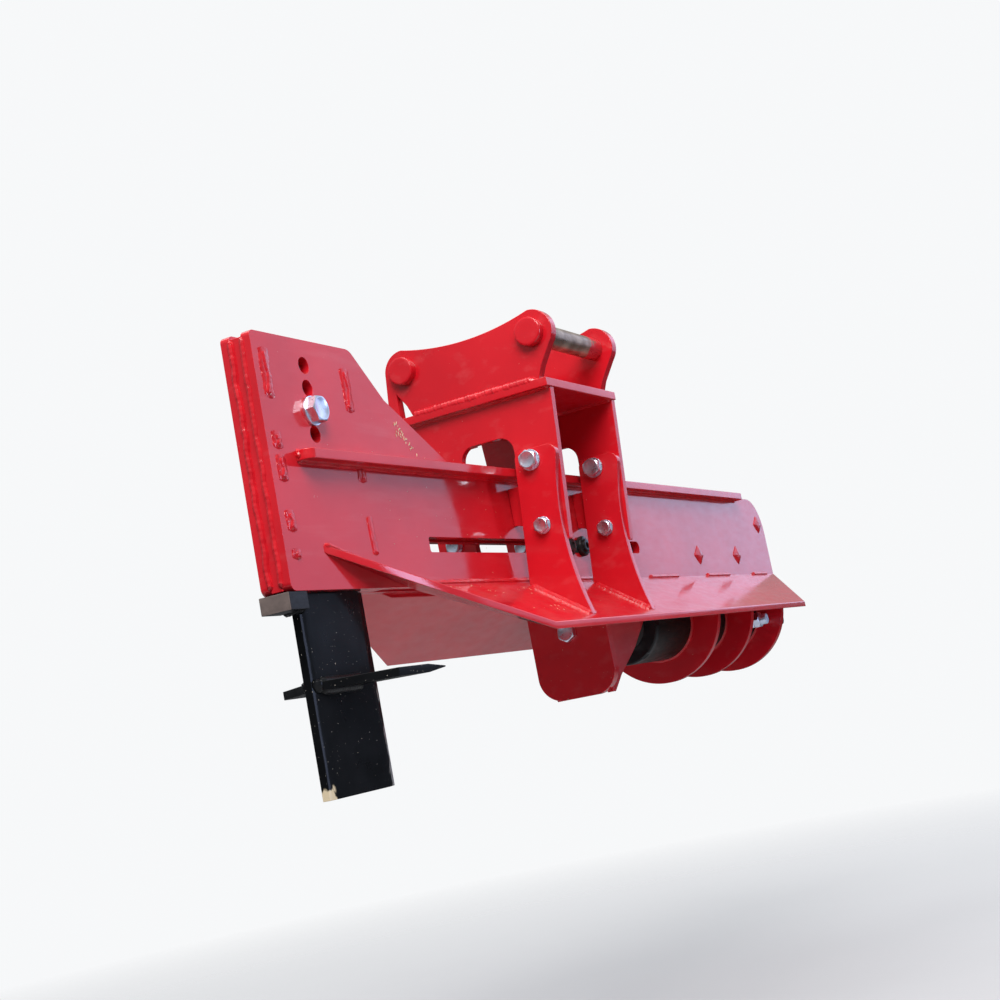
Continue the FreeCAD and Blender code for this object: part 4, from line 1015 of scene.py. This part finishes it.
def world():
    """Even backdrop; as light it is a soft sky above and a darker ground below the horizon."""
    sky = bpy.data.worlds.new("studio")
    sky.use_nodes = True
    nodes = sky.node_tree.nodes
    links = sky.node_tree.links
    direction = nodes.new("ShaderNodeSeparateXYZ")
    links.new(nodes.new("ShaderNodeTexCoord").outputs["Generated"], direction.inputs["Vector"])
    ramp = nodes.new("ShaderNodeMapRange")
    for socket, value in (("From Min", -0.05), ("From Max", 0.45), ("To Min", 0.03), ("To Max", 0.52)):
        ramp.inputs[socket].default_value = value
    links.new(direction.outputs["Z"], ramp.inputs["Value"])
    soft = nodes["Background"]
    soft.inputs["Color"].default_value = (0.90, 0.94, 1.0, 1.0)
    links.new(ramp.outputs["Result"], soft.inputs["Strength"])
    backdrop = nodes.new("ShaderNodeBackground")
    backdrop.inputs["Color"].default_value = (0.93, 0.94, 0.95, 1.0)
    mix = nodes.new("ShaderNodeMixShader")
    links.new(nodes.new("ShaderNodeLightPath").outputs["Is Camera Ray"], mix.inputs["Fac"])
    links.new(soft.outputs["Background"], mix.inputs[1])
    links.new(backdrop.outputs["Background"], mix.inputs[2])
    links.new(mix.outputs["Shader"], nodes["World Output"].inputs["Surface"])
    bpy.context.scene.world = sky


def camera():
    """Camera at the photograph's viewing angle, looking up along the beam from its knife end."""
    yaw, pitch, roll = (math.radians(angle) for angle in (63.55, 9.54, -10.91))
    forward = Vector((math.sin(yaw) * math.cos(pitch), math.cos(yaw) * math.cos(pitch), math.sin(pitch)))
    level = Vector((math.cos(yaw), -math.sin(yaw), 0))
    upright = level.cross(forward)
    right = level * math.cos(roll) + upright * math.sin(roll)
    up = upright * math.cos(roll) - level * math.sin(roll)
    lens = bpy.data.cameras.new("camera")
    lens.lens = 57.14
    lens.sensor_width = 36.0
    lens.shift_y = -0.053
    lens.clip_end = 200.0
    place = at(-1747.1, -1238.2, -216.2)
    view = bpy.data.objects.new("camera", lens)
    pose = Matrix((right, up, -forward)).transposed().to_4x4()
    pose.translation = place
    view.matrix_world = pose
    bpy.context.scene.collection.objects.link(view)
    bpy.context.scene.camera = view


SKY_BLUE = (0.55, 0.66, 1.0)
floor()
world()
camera()
softbox("sky_panel", (4.8, -2.6, 1.3), (0.2, 0, 1.3), 4.5, 3.1, 1.05, SKY_BLUE)
softbox("rear_panel", (5.1, -1.0, 1.3), (0.2, 0.6, 1.3), 2.0, 3.1, 0.75, SKY_BLUE)
softbox("key_panel", (-3.0, -1.75, 2.9), (0, 0, -0.1), 3.0, 3.0, 4.5, (1.0, 0.97, 0.94), spread=120.0)
softbox("top_panel", (0.4, 0.6, 3.4), (0, 0, -0.2), 4.0, 3.0, 2.2, (1.0, 0.99, 0.97))
softbox("side_panel", (1.76, -3.8, -0.3), (-0.78, 0, -0.6), 0.5, 1.2, 9.0, SKY_BLUE)
bpy.context.scene.view_settings.view_transform = "Standard"
